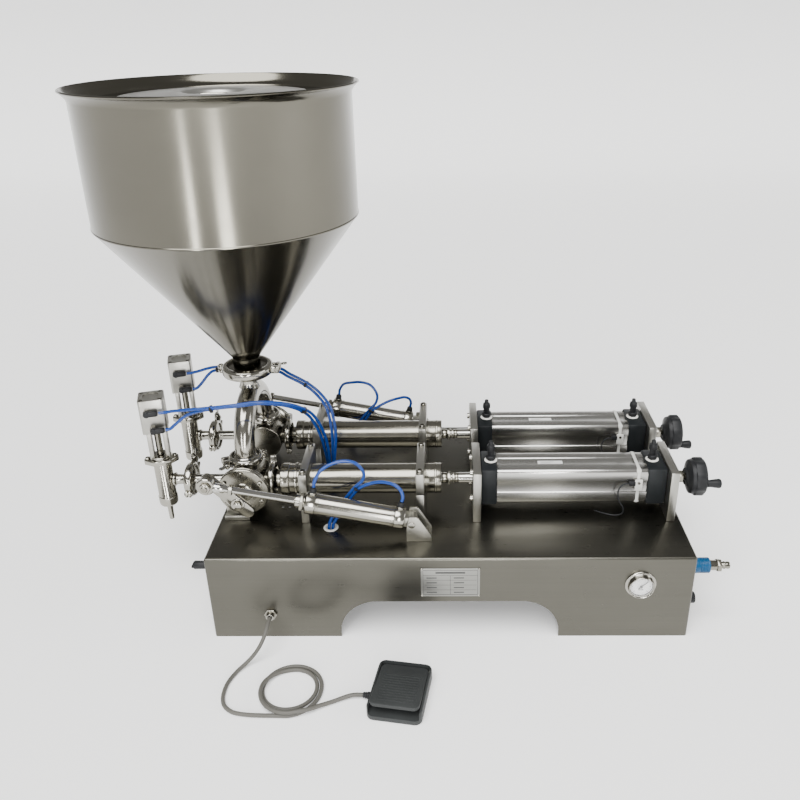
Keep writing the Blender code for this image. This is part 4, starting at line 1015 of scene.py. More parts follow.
@dataclass
class MeteringLine:
    """One line: nozzle, rotary valve, barrel, drive cylinder and their moving pieces."""

    shop: Workshop
    side: Side
    axis_z: float = 0.2335
    valve_x: float = -0.38
    table_z: float = 0.173
    joint_x: float = -0.4885
    nozzle_x: float = -0.54
    lever_r: float = 0.068
    swing_x: float = -0.066
    swing_z: float = 0.2085
    plate_half: float = 0.06
    plate_thick: float = 0.015
    plate_top: float = 0.276
    gap: float = 0.0003

    @property
    def y(self) -> float:
        """Depth of the line's axis."""
        return self.side.line_y

    @property
    def plane(self) -> float:
        """Depth of the valve cylinder."""
        return self.y + self.side.out * 0.1015

    def name(self, piece: str) -> str:
        """The line's own name for a piece."""
        return f"{self.side.value}_{piece}"

    def ship(
            self, name: str, parts: Sequence[Piece], node: str, body: str = "",
            slot: str = "stainless_steel") -> None:
        """Join parts into one of the line's pieces.

        Args:
            name: The piece's name, without the line's.
            parts: Its meshes.
            node: The line's node that it stands for.
            body: The line's body that carries it, or nothing for the root.
            slot: The name of a material slot, handed on to finish_piece.
        """
        self.shop.finish_piece(
            self.name(name), parts, [self.name(node)], self.name(body) if body else "root", slot)

    def along(self) -> Matrix:
        """Seat on the line's axis, Z to the right."""
        return seat((0, self.y, self.axis_z), RIGHT)

    def barrel(self) -> None:
        """Polished metering barrel and the two split clamps that hold it."""
        shop = self.shop
        outline = mm(
            (28.5, -13.5), (28.5, -22), (29.2, -22.8), (29.2, -25.5), (28.5, -26.2), (28.5, -298),
            (30, -299.5), (30.5, -301), (30.5, -314.2), (29.5, -315), (18, -315), (17.5, -315.6),
            (17.5, -330.9), (12, -330.9), (12, -297), (24.5, -295), (24.5, -13.5))
        tube = shop.turned(outline, TURNED_X, self.along(), 64, ring=True, edge=0.0004)
        band = shop.lathe(
            self.along(), POLISHED, 64, (30, -283.5), (31.2, -284.2), (31.2, -288), (30, -288.8),
            (28.6, -288.8), (28.6, -283.5), ring=True)
        self.ship("barrel_form", [tube, band], "meter_barrel")
        for hand, x in (("left", -0.2735), ("right", -0.0597)):
            self.split_clamp(hand, x)

    def split_clamp(self, hand: str, x: float) -> None:
        """One milled plate, split at the barrel's middle and drawn together by two screws."""
        shop = self.shop
        y, z = self.y, self.axis_z
        low, high = self.table_z + self.gap, self.plate_top
        parts = []
        for bottom, top in ((low, z - 0.0008), (z + 0.0008, high)):
            half = shop.block(
                (x, y - self.plate_half, bottom), (x + self.plate_thick, y + self.plate_half, top), MILLED,
                HERE, 0.0012)
            bore = shop.rod(0.0291, x - 0.01, x + 0.025, MILLED, self.along(), 56, 0)
            parts.append(shop.carve(half, bore))
        heads = shop.cap_screw(0.0056, 0.0048)
        parts += shop.repeat(heads, [seat((x + 0.0075, y + s * 0.049, high)) for s in (-1, 1)])
        for s in (-1, 1):
            parts.append(
                shop.rod(0.0034, z - 0.004, z + 0.004, TURNED_Z, seat((x + 0.0075, y + s * 0.049, 0)), 16))
        self.ship(f"barrel_clamp_{hand}_form", parts, f"barrel_clamp_{hand}", slot="cast_aluminium")

    def drive(self) -> None:
        """Drive cylinder between its end plates, with sensor, lead and silencers."""
        shop = self.shop
        y, z = self.y, self.axis_z
        for hand, x, hole in (("left", 0.045, 0.011), ("right", 0.402, 0.0066)):
            wall = shop.block(
                (x, y - self.plate_half, self.table_z + self.gap),
                (x + self.plate_thick, y + self.plate_half, self.plate_top), MILLED, HERE, 0.0012)
            wall = shop.carve(wall, shop.rod(hole, x - 0.01, x + 0.025, MILLED, self.along(), 32, 0))
            screws = shop.cap_screw(0.0058, 0.005)
            outward = -1 if hand == "left" else 1
            face = x if hand == "left" else x + 0.015
            heads = shop.repeat(
                screws,
                [
                    seat((face, y + sy * 0.0275, z + sz * 0.0275), RIGHT if outward > 0 else LEFT)
                    for sy in (-1, 1) for sz in (-1, 1)])
            self.ship(f"end_plate_{hand}_form", [wall, *heads], f"end_plate_{hand}", slot="cast_aluminium")
        for hand, low, high, port in (("left", 0.0603, 0.0898, 0.0795), ("right", 0.3667, 0.4017, 0.38)):
            parts = [
                shop.block(
                    (low, y - 0.0375, z - 0.0375), (high, y + 0.0375, z + 0.0375), ENAMEL, HERE, 0.0035)]
            parts[0] = shop.carve(
                parts[0],
                shop.rod(0.0105, low - 0.01, high + 0.01, ENAMEL, self.along(), 32, 0))
            face = high if hand == "left" else low
            corner = shop.lathe(HERE, ENAMEL, 20, (0, 3), (7, 3), (7.6, 2.4), (7.6, 0), (0, 0), edge=0)
            parts += shop.repeat(
                corner,
                [
                    seat(
                        (face - (0.0025 if hand == "left" else -0.0025), y + sy * 0.0292, z + sz * 0.0292),
                        RIGHT if hand == "left" else LEFT)
                    for sy in (-1, 1) for sz in (-1, 1)])
            top = z + 0.0375
            here = seat((port, y, top))
            parts += [
                shop.lathe(here, SEAL_WHITE, 36, (0, 2), (11.2, 2), (12, 1.2), (12, 0.2), (0, 0.2)),
                shop.hex_nut(0.0092, 0.009, BLACK, here @ lift(0.002)),
                shop.lathe(
                    here, BLACK, 32, (0, 41), (3, 40.8), (4, 39.5), (4.2, 33.5), (6.6, 33), (7.4, 31.5),
                    (7.4, 22.5), (6.4, 21.5), (6, 10.5), (0, 10.5))]
            parts += [
                shop.turned([
                    (0.006, 0.0295 - 0.0025 * i), (0.0078, 0.0291 - 0.0025 * i),
                    (0.0078, 0.0283 - 0.0025 * i), (0.006, 0.0279 - 0.0025 * i)],
                    BLACK, here, 24, ring=True, edge=0)
                for i in range(3)]
            self.ship(f"cylinder_cap_{hand}_form", parts, f"cylinder_cap_{hand}", slot="dark_cap")
        self.extrusion()
        self.piston_rod()
        self.stop_screw()

    def extrusion(self) -> None:
        """The square drive tube with its sunk channels, label, sensor and lead."""
        shop = self.shop
        y, z = self.y, self.axis_z
        half = 0.0355
        side = [
            (half, -0.0225), (half, -0.0115), (half - 0.0016, -0.0105), (half - 0.0016, 0.0105),
            (half, 0.0115), (half, 0.0225)]
        profile = []
        for quarter in range(4):
            angle = quarter * pi / 2
            profile += [(u * cos(angle) - v * sin(angle), u * sin(angle) + v * cos(angle)) for u, v in side]
            for step in range(1, 6):
                sweep = pi / 2 * step / 6
                u, v = half - 0.0075 + 0.0075 * cos(sweep), half - 0.0075 + 0.0075 * sin(sweep)
                profile.append((u * cos(angle) - v * sin(angle), u * sin(angle) + v * cos(angle)))
        tube = shop.plate(profile, 0.0901, 0.3664, EXTRUSION, self.along(), 0.0003)
        tube = shop.carve(tube, shop.rod(0.0315, 0.08, 0.38, EXTRUSION, self.along(), 48, 0))
        label = shop.plate(
            rounded(0.046, 0.012, 0.001), 0, 0.00025, LABEL, seat((0.19, y - 0.004, z + half - 0.0016)), 0)
        bars = [
            shop.block(
                (0.172, y - 0.0066 + 0.004 * row, z + half - 0.0015),
                (0.19 + 0.006 * row, y - 0.0056 + 0.004 * row, z + half - 0.00125),
                ETCHED, HERE, 0)
            for row in range(2)]
        band = shop.block(
            (0.3415, y - half - 0.0014, z - half - 0.0014), (0.3575, y + half + 0.0014, z + half + 0.0014),
            BAND, HERE, 0.0078)
        inner = shop.block(
            (0.33, y - half - 0.0003, z - half - 0.0003), (0.37, y + half + 0.0003, z + half + 0.0003),
            BAND, HERE, 0.0072)
        band = shop.carve(band, inner)
        front = y - half - 0.0014
        sensor = shop.block(
            (0.332, front - 0.0045, z + 0.0045), (0.344, front + 0.0012, z + 0.0135), BLACK, HERE, 0.0012)
        saddle = shop.block(
            (0.3425, front - 0.004, z - 0.006), (0.3565, front, z + 0.017), BAND, HERE, 0.0014)
        screw = shop.lathe(
            seat((0.3495, front - 0.004, z + 0.011), FRONT), POLISHED, 18, (0, 1.8), (2.4, 1.8), (2.8, 1.2),
            (2.8, 0), (0, 0), edge=0)
        lead = shop.wire([
            (0.333, front - 0.0025, z + 0.009), (0.324, front - 0.0032, z + 0.0085),
            (0.315, front - 0.0055, z + 0.0025), (0.3115, front - 0.0085, z - 0.01),
            (0.315, front - 0.011, z - 0.024), (0.3225, front - 0.012, z - 0.037),
            (0.322, front - 0.011, z - 0.05), (0.311, front - 0.007, z - 0.057),
            (0.293, front + 0.001, z - 0.0586), (0.276, front + 0.012, z - 0.0588)], 0.0014, BLACK, 8, 8)
        self.ship(
            "cylinder_tube_form", [tube, label, *bars, band, sensor, saddle, screw, lead], "cylinder_tube",
            slot="cast_aluminium")

    def piston_rod(self) -> None:
        """Chromed rod from the drive piston to the metering piston, with its coupling."""
        shop = self.shop
        rod = shop.lathe(
            self.along(), CHROMED, 48, (0, 345), (31, 345), (31, 320), (10, 320), (10, 18.8), (0, 18.8))
        joint = shop.lathe(
            self.along(), TURNED_X, 48, (0, 19), (8.8, 19), (9.4, 18), (9.4, 13.5), (8.5, 12.8), (8.5, -2),
            (9.4, -2.8), (10, -6), (10, -12.7), (0, -12.7))
        flats = shop.hex_nut(0.014, 0.0068, POLISHED, self.along() @ lift(-0.002))
        lock = shop.hex_nut(0.0122, 0.0042, POLISHED, self.along() @ lift(0.0075))
        head = shop.lathe(
            self.along(), CHROMED, 48, (0, -12), (10, -12), (10, -113), (24, -113), (24, -120),
            (22.8, -121), (22.8, -129), (24, -130), (24, -138), (0, -138))
        self.ship("drive_rod_form", [rod, joint, flats, lock, head], "drive_rod", body="piston")

    def stop_screw(self) -> None:
        """Threaded stop screw with its lock nut, and the handwheel that turns it."""
        shop = self.shop
        outline = [(0, 0.4575)]
        for turn in range(16):
            x = 0.457 - turn * 0.0018
            outline += [(0.0053, x), (0.006, x - 0.0009)]
        outline += mm((5.3, 428), (5.8, 427), (5.8, 360.5), (5, 360), (0, 360))
        screw = shop.turned(outline, TURNED_X, self.along(), 28, edge=0)
        nut = shop.hex_nut(0.0124, 0.0098, TURNED_X, self.along() @ lift(0.4306))
        self.ship("stop_screw_form", [screw, nut], "stop_screw", body="stop_screw")
        lobes = []
        count = 72
        for i in range(count):
            angle = 2 * pi * i / count
            grip = 0.0356 + 0.001 * cos(angle * 9)
            lobes.append((grip * cos(angle), grip * sin(angle)))
        wheel = [
            shop.plate(lobes, 0.4585, 0.4765, BLACK, self.along(), 0.0022),
            shop.lathe(
                self.along(), BLACK, 56, (0, 477), (12, 477), (13.5, 479.8), (30.8, 479.8), (33.4, 478),
                (33.4, 474), (0, 474)),
            shop.lathe(
                self.along(), BLACK, 56, (34, 460), (31.8, 452), (19, 448.2), (16.8, 446), (15.8, 444),
                (6.4, 444), (6.4, 460), ring=True)]
        spread = radians(90 if self.side is Side.FRONT else 20)
        here = seat((0, self.y - 0.026 * sin(spread), self.axis_z - 0.026 * cos(spread)), RIGHT)
        wheel.append(shop.lathe(
            here, BLACK, 36, (0, 505), (6, 505), (8.2, 503.6), (9, 501), (8.2, 493), (6.8, 485),
            (7.2, 479.5), (0, 479.5)))
        self.ship("handwheel_form", wheel, "handwheel", body="handwheel", slot="black_plastic")

    def valve(self) -> None:
        """Rotary valve body with its ports, cover and foot, and the plug's lever."""
        shop = self.shop
        facing = FRONT if self.side.out < 0 else BACK
        along = seat((self.valve_x, self.y, self.axis_z), facing)
        parts = [
            shop.lathe(
                along, TURNED_Y, 72, (0, 35.5), (35.2, 35.5), (36, 34.7), (36, -35), (35, -36), (0, -36)),
            shop.lathe(
                along, TURNED_Y, 72, (11.4, 48), (45.5, 48), (47.5, 46.2), (47.5, 43.2), (46.2, 42.4),
                (46.2, 41.2), (47.5, 40.4), (47.5, 37.4), (46.2, 36.2), (34, 35), (11.4, 35), ring=True),
            shop.lathe(
                along, POLISHED, 40, (11.4, 52), (16.5, 51.5), (19, 49.5), (19, 47.8), (11.4, 47.8),
                ring=True)]
        head = shop.cap_screw(0.0044, 0.0042)
        parts += shop.repeat(
            head,
            [
                along @ Matrix.Rotation(radians(30 + 60 * i), 4, "Z") @ seat((0.0385, 0, 0.0479))
                for i in range(6)])
        near, far = sorted((self.y + self.side.out * 0.034, self.y - self.side.out * 0.033))
        parts.append(shop.block(
            (self.valve_x - 0.0395, near, self.table_z + self.gap),
            (self.valve_x + 0.0065, far, self.axis_z - 0.025), CAST_STEEL, HERE, 0.0012))
        lip_low, lip_high = sorted((self.y + self.side.out * 0.051, self.y + self.side.out * 0.033))
        parts += [
            shop.block(
                (self.valve_x - 0.0395, lip_low, self.table_z + self.gap),
                (self.valve_x + 0.0065, lip_high, self.table_z + 0.0105), CAST_STEEL, HERE, 0.0012),
            shop.lathe(
                seat((self.valve_x, self.y, 0)), POLISHED, 44, (12, 280), (24.5, 280), (24.5, 275.6),
                (20, 274.2), (17.2, 271), (16.5, 266), (12, 266), ring=True)]
        across = self.along()
        parts.append(shop.lathe(
            across, POLISHED, 48, (12, -331.2), (25, -331.2), (25, -335), (20.5, -336.2), (17.2, -339),
            (16.5, -346), (12, -346), ring=True))
        parts += PipeClamp(0.0256, 0.0318, 0.012, bolted=False).parts(
            shop, across @ lift(-0.333) @ Matrix.Rotation(radians(150), 4, "Z"))
        parts.append(shop.lathe(
            across, POLISHED, 44, (9.5, -410), (12.5, -414), (13, -417.5), (10, -420.5), (9.5, -430),
            (9.5, -478), (11.2, -481.2), (24.8, -483.2), (25, -487.9), (7, -488.2), (7, -410), ring=True))
        self.ship("valve_form", parts, "valve_body")
        stem = seat((self.valve_x, self.y, self.axis_z), facing)
        tilt = Matrix.Rotation(-radians(135), 4, "Y")
        slot = Matrix.Translation((self.valve_x, self.y, self.axis_z)) @ tilt
        strap = shop.plate(
            [(x + 0.0245, z) for x, z in rounded(0.117, 0.024, 0.0118, 8)],
            -0.004, 0.004, POLISHED, slot @ seat((0, self.side.out * 0.085, 0)) @ STAND, 0.0008)
        parts = [
            strap,
            shop.lathe(
                stem, TURNED_Y, 48, (0, 88.5), (10, 88.5), (11, 87.5), (11, 52.5), (10.8, 42), (21.5, 41.5),
                (21.5, -29), (0, -29)),
            shop.lathe(stem, POLISHED, 40, (0, 90.5), (11.8, 90.5), (12.5, 89.8), (12.5, 88.8), (0, 88.8)),
            shop.hex_nut(0.0092, 0.0068, POLISHED, stem @ lift(0.0905))]
        self.ship("valve_lever_form", parts, "valve_lever", body="valve_plug")

    def swing(self) -> None:
        """Air cylinder that turns the valve, its bracket, rod and eye."""
        shop = self.shop
        end_x = self.valve_x + self.lever_r * cos(radians(135))
        end_z = self.axis_z + self.lever_r * sin(radians(135))
        reach = hypot(end_x - self.swing_x, end_z - self.swing_z)
        direction = Vector((end_x - self.swing_x, 0, end_z - self.swing_z)) / reach
        upward = Vector((direction.z, 0, -direction.x))
        along = Matrix((
            (upward.x, 0, direction.x, self.swing_x), (0, 1, 0, self.plane),
            (upward.z, 0, direction.z, self.swing_z), (0, 0, 0, 1)))
        body = [shop.lathe(
            along, TURNED_X, 64, (0, 211.5), (8.5, 211.5), (9.5, 210.5), (12.8, 210), (13.2, 193.5),
            (15, 193.2), (18.8, 192), (20, 190.5), (20, 176), (19.4, 174.5), (18.6, 173.5), (18.6, 33.5),
            (19.4, 32.5), (20, 31), (20, 16), (18.8, 14), (0, 14))]
        body[0].data.materials[0] = POLISHED.material()
        body += [
            shop.turned(
                [(0.0186, z + 0.0008), (0.0205, z + 0.0004), (0.0205, z - 0.0004), (0.0186, z - 0.0008)],
                POLISHED, along, 56, ring=True, edge=0)
            for z in (0.035, 0.0375, 0.1695, 0.172)]
        body += [
            shop.hex_nut(0.018, 0.0075, TURNED_X, along @ lift(0.195)),
            shop.block((-0.0092, -0.0128, -0.002), (0.0092, 0.0128, 0.0165), CAST_STEEL, along, 0.0015),
            shop.rod(
                0.01, -0.0128, 0.0128, CAST_STEEL, seat((self.swing_x, self.plane, self.swing_z), BACK), 32)]
        for middle in (0.02425, 0.182):
            body += PushFitting().parts(shop, along @ seat((0, 0, middle), RIGHT))
        self.ship("valve_cylinder_form", body, "valve_cylinder", body="valve_cylinder")
        rod = [shop.turned([
            (0, reach - 0.012), (0.0072, reach - 0.012), (0.0082, reach - 0.014), (0.0082, reach - 0.031),
            (0.006, reach - 0.034), (0.006, 0.205), (0, 0.205)], CHROMED, along, 36),
            shop.hex_nut(0.0105, 0.0075, POLISHED, along @ lift(reach - 0.0475))]
        facing = FRONT if self.side.out < 0 else BACK
        eye = seat((end_x, self.plane, end_z), facing)
        rod += [
            shop.lathe(
                eye, POLISHED, 44, (6.8, 7), (15, 7), (16.5, 5.2), (16.5, -5.2), (15, -7), (6.8, -7),
                ring=True),
            shop.lathe(eye, TURNED_Y, 28, (0, 16), (5.2, 16), (6, 15), (6, -11), (5.2, -12), (0, -12)),
            shop.hex_nut(0.0104, 0.0055, POLISHED, eye @ lift(0.0074)),
            shop.lathe(eye, TURNED_Y, 28, (6, -7.2), (9, -7.4), (8.8, -10.8), (6, -11), ring=True)]
        self.ship("cylinder_rod_form", rod, "valve_cylinder_rod", body="valve_cylinder_rod")
        left, right, low = -0.0754, -0.0311, self.table_z
        bracket = [shop.block(
            (left, self.plane - 0.017, low + 0.0004), (right, self.plane + 0.017, low + 0.0042), CAST_STEEL,
            HERE, 0.0008)]
        bracket += shop.repeat(
            shop.cap_screw(0.005, 0.0045),
            [seat((-0.041, self.plane + s * 0.0085, low + 0.0042)) for s in (-1, 1)])
        cheek = [
            (-0.0306, low + 0.0004), (-0.0306, low + 0.012), (-0.053, 0.2215), (-0.056, 0.224),
            (-0.062, 0.2245), (-0.0705, 0.2245), (-0.0756, 0.1985), (-0.0759, low + 0.0004)]
        for s in (-1, 1):
            near, far = sorted((-s * 0.0137, -s * 0.0177))
            bracket.append(
                shop.plate(
                    cheek, near, far, CAST_STEEL, Matrix.Translation((0, self.plane, 0)) @ STAND, 0.0006))
        pin = seat((self.swing_x, self.plane, self.swing_z), BACK)
        bracket.append(shop.rod(0.004, -0.019, 0.019, TURNED_Y, pin, 24))
        bracket += [
            shop.turned([
                (0, s * 0.0195), (0.006, s * 0.0195), (0.0066, s * 0.0188), (0.0066, s * 0.0179),
                (0, s * 0.0179)], POLISHED, pin, 28)
            for s in (-1, 1)]
        self.ship("bracket_form", bracket, "valve_cylinder_bracket")

    def nozzle(self) -> None:
        """Shut-off nozzle under its small square cylinder."""
        shop = self.shop
        upright = seat((self.nozzle_x, self.y, 0))
        turned_place = seat((self.nozzle_x, self.y, 0), UP, radians(16))
        across = self.along()
        ear = mm((31, -4), (31, 4), (14, 17.5), (-14, 17.5), (-31, 4), (-31, -4), (-14, -17.5), (14, -17.5))
        parts = [
            shop.lathe(
                upright, POLISHED, 48, (6.3, 277), (16.5, 277), (16.5, 201.5), (17.2, 200.5), (17.8, 199.5),
                (17.8, 185), (16.5, 181.5), (12, 180.6), (5.8, 180), (5.5, 178), (4.8, 146), (4.4, 145),
                (3.2, 145), (3.2, 199), (6.3, 202), ring=True),
            shop.plate(ear, 0.2722, 0.2818, POLISHED, turned_place, 0.0014),
            shop.lathe(
                across, POLISHED, 44, (9, -525), (13, -521.5), (13, -519), (9.8, -516), (9.5, -506),
                (10.8, -495.5), (24.5, -493.2), (24.8, -488.7), (7, -488.7), (7, -525), ring=True)]
        parts += PipeClamp(0.0256, 0.0318, 0.0155).parts(
            shop,
            across @ lift(self.joint_x) @ Matrix.Rotation(radians(115), 4, "Z"))
        bolts = shop.repeat(
            shop.cap_screw(0.0042, 0.004),
            [turned_place @ seat((s * 0.0245, 0, 0.2815)) for s in (-1, 1)])
        self.ship("nozzle_form", [*parts, *bolts], "nozzle_body")
        top = [shop.plate(rounded(0.045, 0.045, 0.0045), 0.343, 0.41, MILLED, turned_place, 0.0008)]
        for sx in (-1, 1):
            for sy in (-1, 1):
                top[0] = shop.carve(
                    top[0],
                    shop.rod(
                        0.0036, 0.406, 0.42, MILLED, turned_place @ seat((sx * 0.0165, sy * 0.0165, 0)), 18,
                        0))
        top[0] = shop.carve(top[0], shop.rod(0.015, 0.4085, 0.42, MILLED, turned_place, 40, 0))
        for hand in (-1, 1):
            grooves = [
                shop.block(
                    (hand * 0.0225 - 0.0012, s * 0.008 - 0.0018, 0.339),
                    (hand * 0.0225 + 0.0012, s * 0.008 + 0.0018, 0.415), MILLED, turned_place, 0)
                for s in (-1, 1)]
            top[0] = shop.carve(top[0], *grooves)
            top.append(shop.block(
                (hand * 0.014 - 0.0044, -0.0098, 0.2824), (hand * 0.014 + 0.0044, 0.0098, 0.3435), MILLED,
                turned_place, 0.002))
        top.append(shop.lathe(
            turned_place, POLISHED, 44, (6.6, 288.5), (17.2, 288.5), (18, 287.5), (18, 282.5), (6.6, 282.5),
            ring=True))
        for low, x in ((0.353, -0.002), (0.388, -0.009)):
            base = turned_place @ seat((x, -0.0225, low), FRONT)
            arm = turned_place @ seat((x, -0.0315, low), RIGHT)
            top += [
                shop.hex_nut(0.0068, 0.0036, TURNED_Z, base @ lift(0.0002)),
                shop.lathe(base, BLACK, 28, (0, 14), (4, 14), (5.8, 12.5), (6, 3), (0, 3)),
                shop.lathe(
                    arm, BLACK, 28, (3.4, 19.6), (4.8, 19.4), (5, 17.2), (5.6, 16.8), (5.6, -4), (3.4, -4),
                    ring=True)]
        self.ship("nozzle_cylinder_form", top, "nozzle_cylinder", slot="cast_aluminium")
        stem = shop.lathe(
            upright, TURNED_Z, 36, (0, 359.5), (15.6, 359.5), (15.6, 352.5), (6, 352), (6, 295.5),
            (5.8, 295), (5.8, 206), (4, 199.9), (0, 199.9))
        self.ship("plunger_form", [stem], "nozzle_plunger", body="nozzle_plunger")

    def build(self) -> None:
        """Every piece of the line."""
        self.barrel()
        self.drive()
        self.valve()
        self.swing()
        self.nozzle()


# ---------------------------------------------------------------- hoses, pedal and cord


@dataclass
class Hoses:
    """Pairs of blue air hoses, held side by side by black ties."""

    shop: Workshop
    radius: float = 0.003
    middle_y: float = 0.256
    front_nozzle: tuple[Route, ...] = (
        mm(
            (-520.2, 141.9, 388), (-511.5, 144.4, 388), (-497, 143, 391), (-468, 134, 398),
            (-421, 130, 404), (-376, 128, 410), (-331, 133, 413), (-290, 150, 401), (-263, 180, 375),
            (-249, 205, 344), (-239, 228, 296), (-236, 243, 250), (-237, 249.5, 210), (-238.5, 252.5, 180),
            (-238.5, 252.5, 150)),
        mm(
            (-513.4, 143.9, 353), (-504.7, 146.4, 354), (-492, 145.5, 365), (-463, 138, 388),
            (-421, 134.8, 399.2), (-376, 133, 405.2), (-331, 138, 408), (-293.5, 154.5, 395.5),
            (-268.5, 182.5, 369.5), (-256, 206.5, 339), (-246.5, 229, 292), (-244, 247.5, 250),
            (-241, 257, 212), (-238.5, 260, 180), (-238.5, 260, 150)))
    rear_nozzle: tuple[Route, ...] = (
        mm(
            (-520.2, 315.9, 388), (-511.5, 318.4, 388), (-495, 316, 393), (-476, 312.5, 400),
            (-456, 312, 403.5), (-400, 312.5, 404), (-337, 310, 402), (-310, 301, 392), (-276, 291, 377),
            (-252, 281, 361), (-233, 272, 338), (-225.5, 265.5, 312), (-222.5, 260, 277),
            (-227.5, 255, 226), (-231.5, 252.5, 190), (-231.5, 252.5, 150)),
        mm(
            (-513.4, 317.9, 353), (-504.7, 320.4, 354), (-492, 319, 367), (-474, 314, 388),
            (-456, 312.5, 396.5), (-400, 313, 397), (-341, 311, 395), (-314.5, 302.5, 385.5),
            (-281, 293, 371), (-258, 283.5, 355), (-240.5, 275.5, 333), (-233.5, 270, 308),
            (-230.5, 265.5, 275), (-231.5, 262, 226), (-231.5, 260, 190), (-231.5, 260, 150)))
    valve: tuple[Route, ...] = (
        mm(
            (-237.5, 67.5, 278.5), (-235.1, 67.5, 290.2), (-225, 75, 306), (-207, 85, 314), (-186, 90, 317),
            (-165, 93, 311), (-152, 96, 291), (-155, 98, 272), (-169, 100, 257), (-187, 100, 234),
            (-205, 98, 208), (-217.5, 95.5, 188), (-221, 94.5, 172), (-221, 94.5, 152)),
        mm(
            (-82.9, 67.5, 247.3), (-81.1, 67.5, 256.5), (-84.5, 71, 267.5), (-95, 77.5, 274.5),
            (-111, 86, 275), (-128, 92, 272), (-147, 97, 264), (-164.3, 100, 252.3), (-180.5, 100, 230),
            (-197.5, 98, 204.5), (-210, 95.5, 186), (-214, 94.5, 172), (-214, 94.5, 152)))

    def tie(self, at: Sequence[float], facing: Sequence[float]) -> list[Piece]:
        """A cable tie round both hoses: its band and its lock."""
        shop = self.shop
        place = seat(at, Vector(facing))
        band = shop.plate(rounded(0.0096, 0.0148, 0.0044), -0.0018, 0.0018, BLACK, place, 0.0003)
        lock = shop.block((0.0042, -0.0026, -0.0026), (0.008, 0.0026, 0.0026), BLACK, place, 0.0005)
        return [band, lock]

    def build(self) -> None:
        """The four pairs."""
        shop = self.shop
        for name, routes, ties in (
                (
                    "front_nozzle_hoses", self.front_nozzle,
                    (((-0.421, 0.1324, 0.4016), (1, 0, 0.12)), ((-0.266, 0.181, 0.3725), (0.5, 0.75,
                    -0.7)))),
                (
                    "rear_nozzle_hoses", self.rear_nozzle,
                    (((-0.456, 0.3122, 0.4), (1, 0, 0)), ((-0.2785, 0.292, 0.374), (0.85, -0.3, -0.45))))):
            parts = [shop.wire(route, self.radius, HOSE_BLUE, 5, 14) for route in routes]
            for at, facing in ties:
                parts += self.tie(at, facing)
            shop.finish_piece(f"{name}_form", parts, [name], slot="blue_hose")
        for side in Side:
            flip = side is Side.REAR
            routes = [
                [(x, 2 * self.middle_y - y if flip else y, z) for x, y, z in route]
                for route in self.valve]
            parts = [shop.wire(route, self.radius, HOSE_BLUE, 5, 14) for route in routes]
            at = (-0.1667, 2 * self.middle_y - 0.1 if flip else 0.1, 0.2547)
            parts += self.tie(at, (0.62, 0, 0.78))
            name = f"{side.value}_valve_hoses"
            piece = shop.finish_piece(f"{name}_form", parts, [name], body="", slot="blue_hose")
            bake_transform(piece)


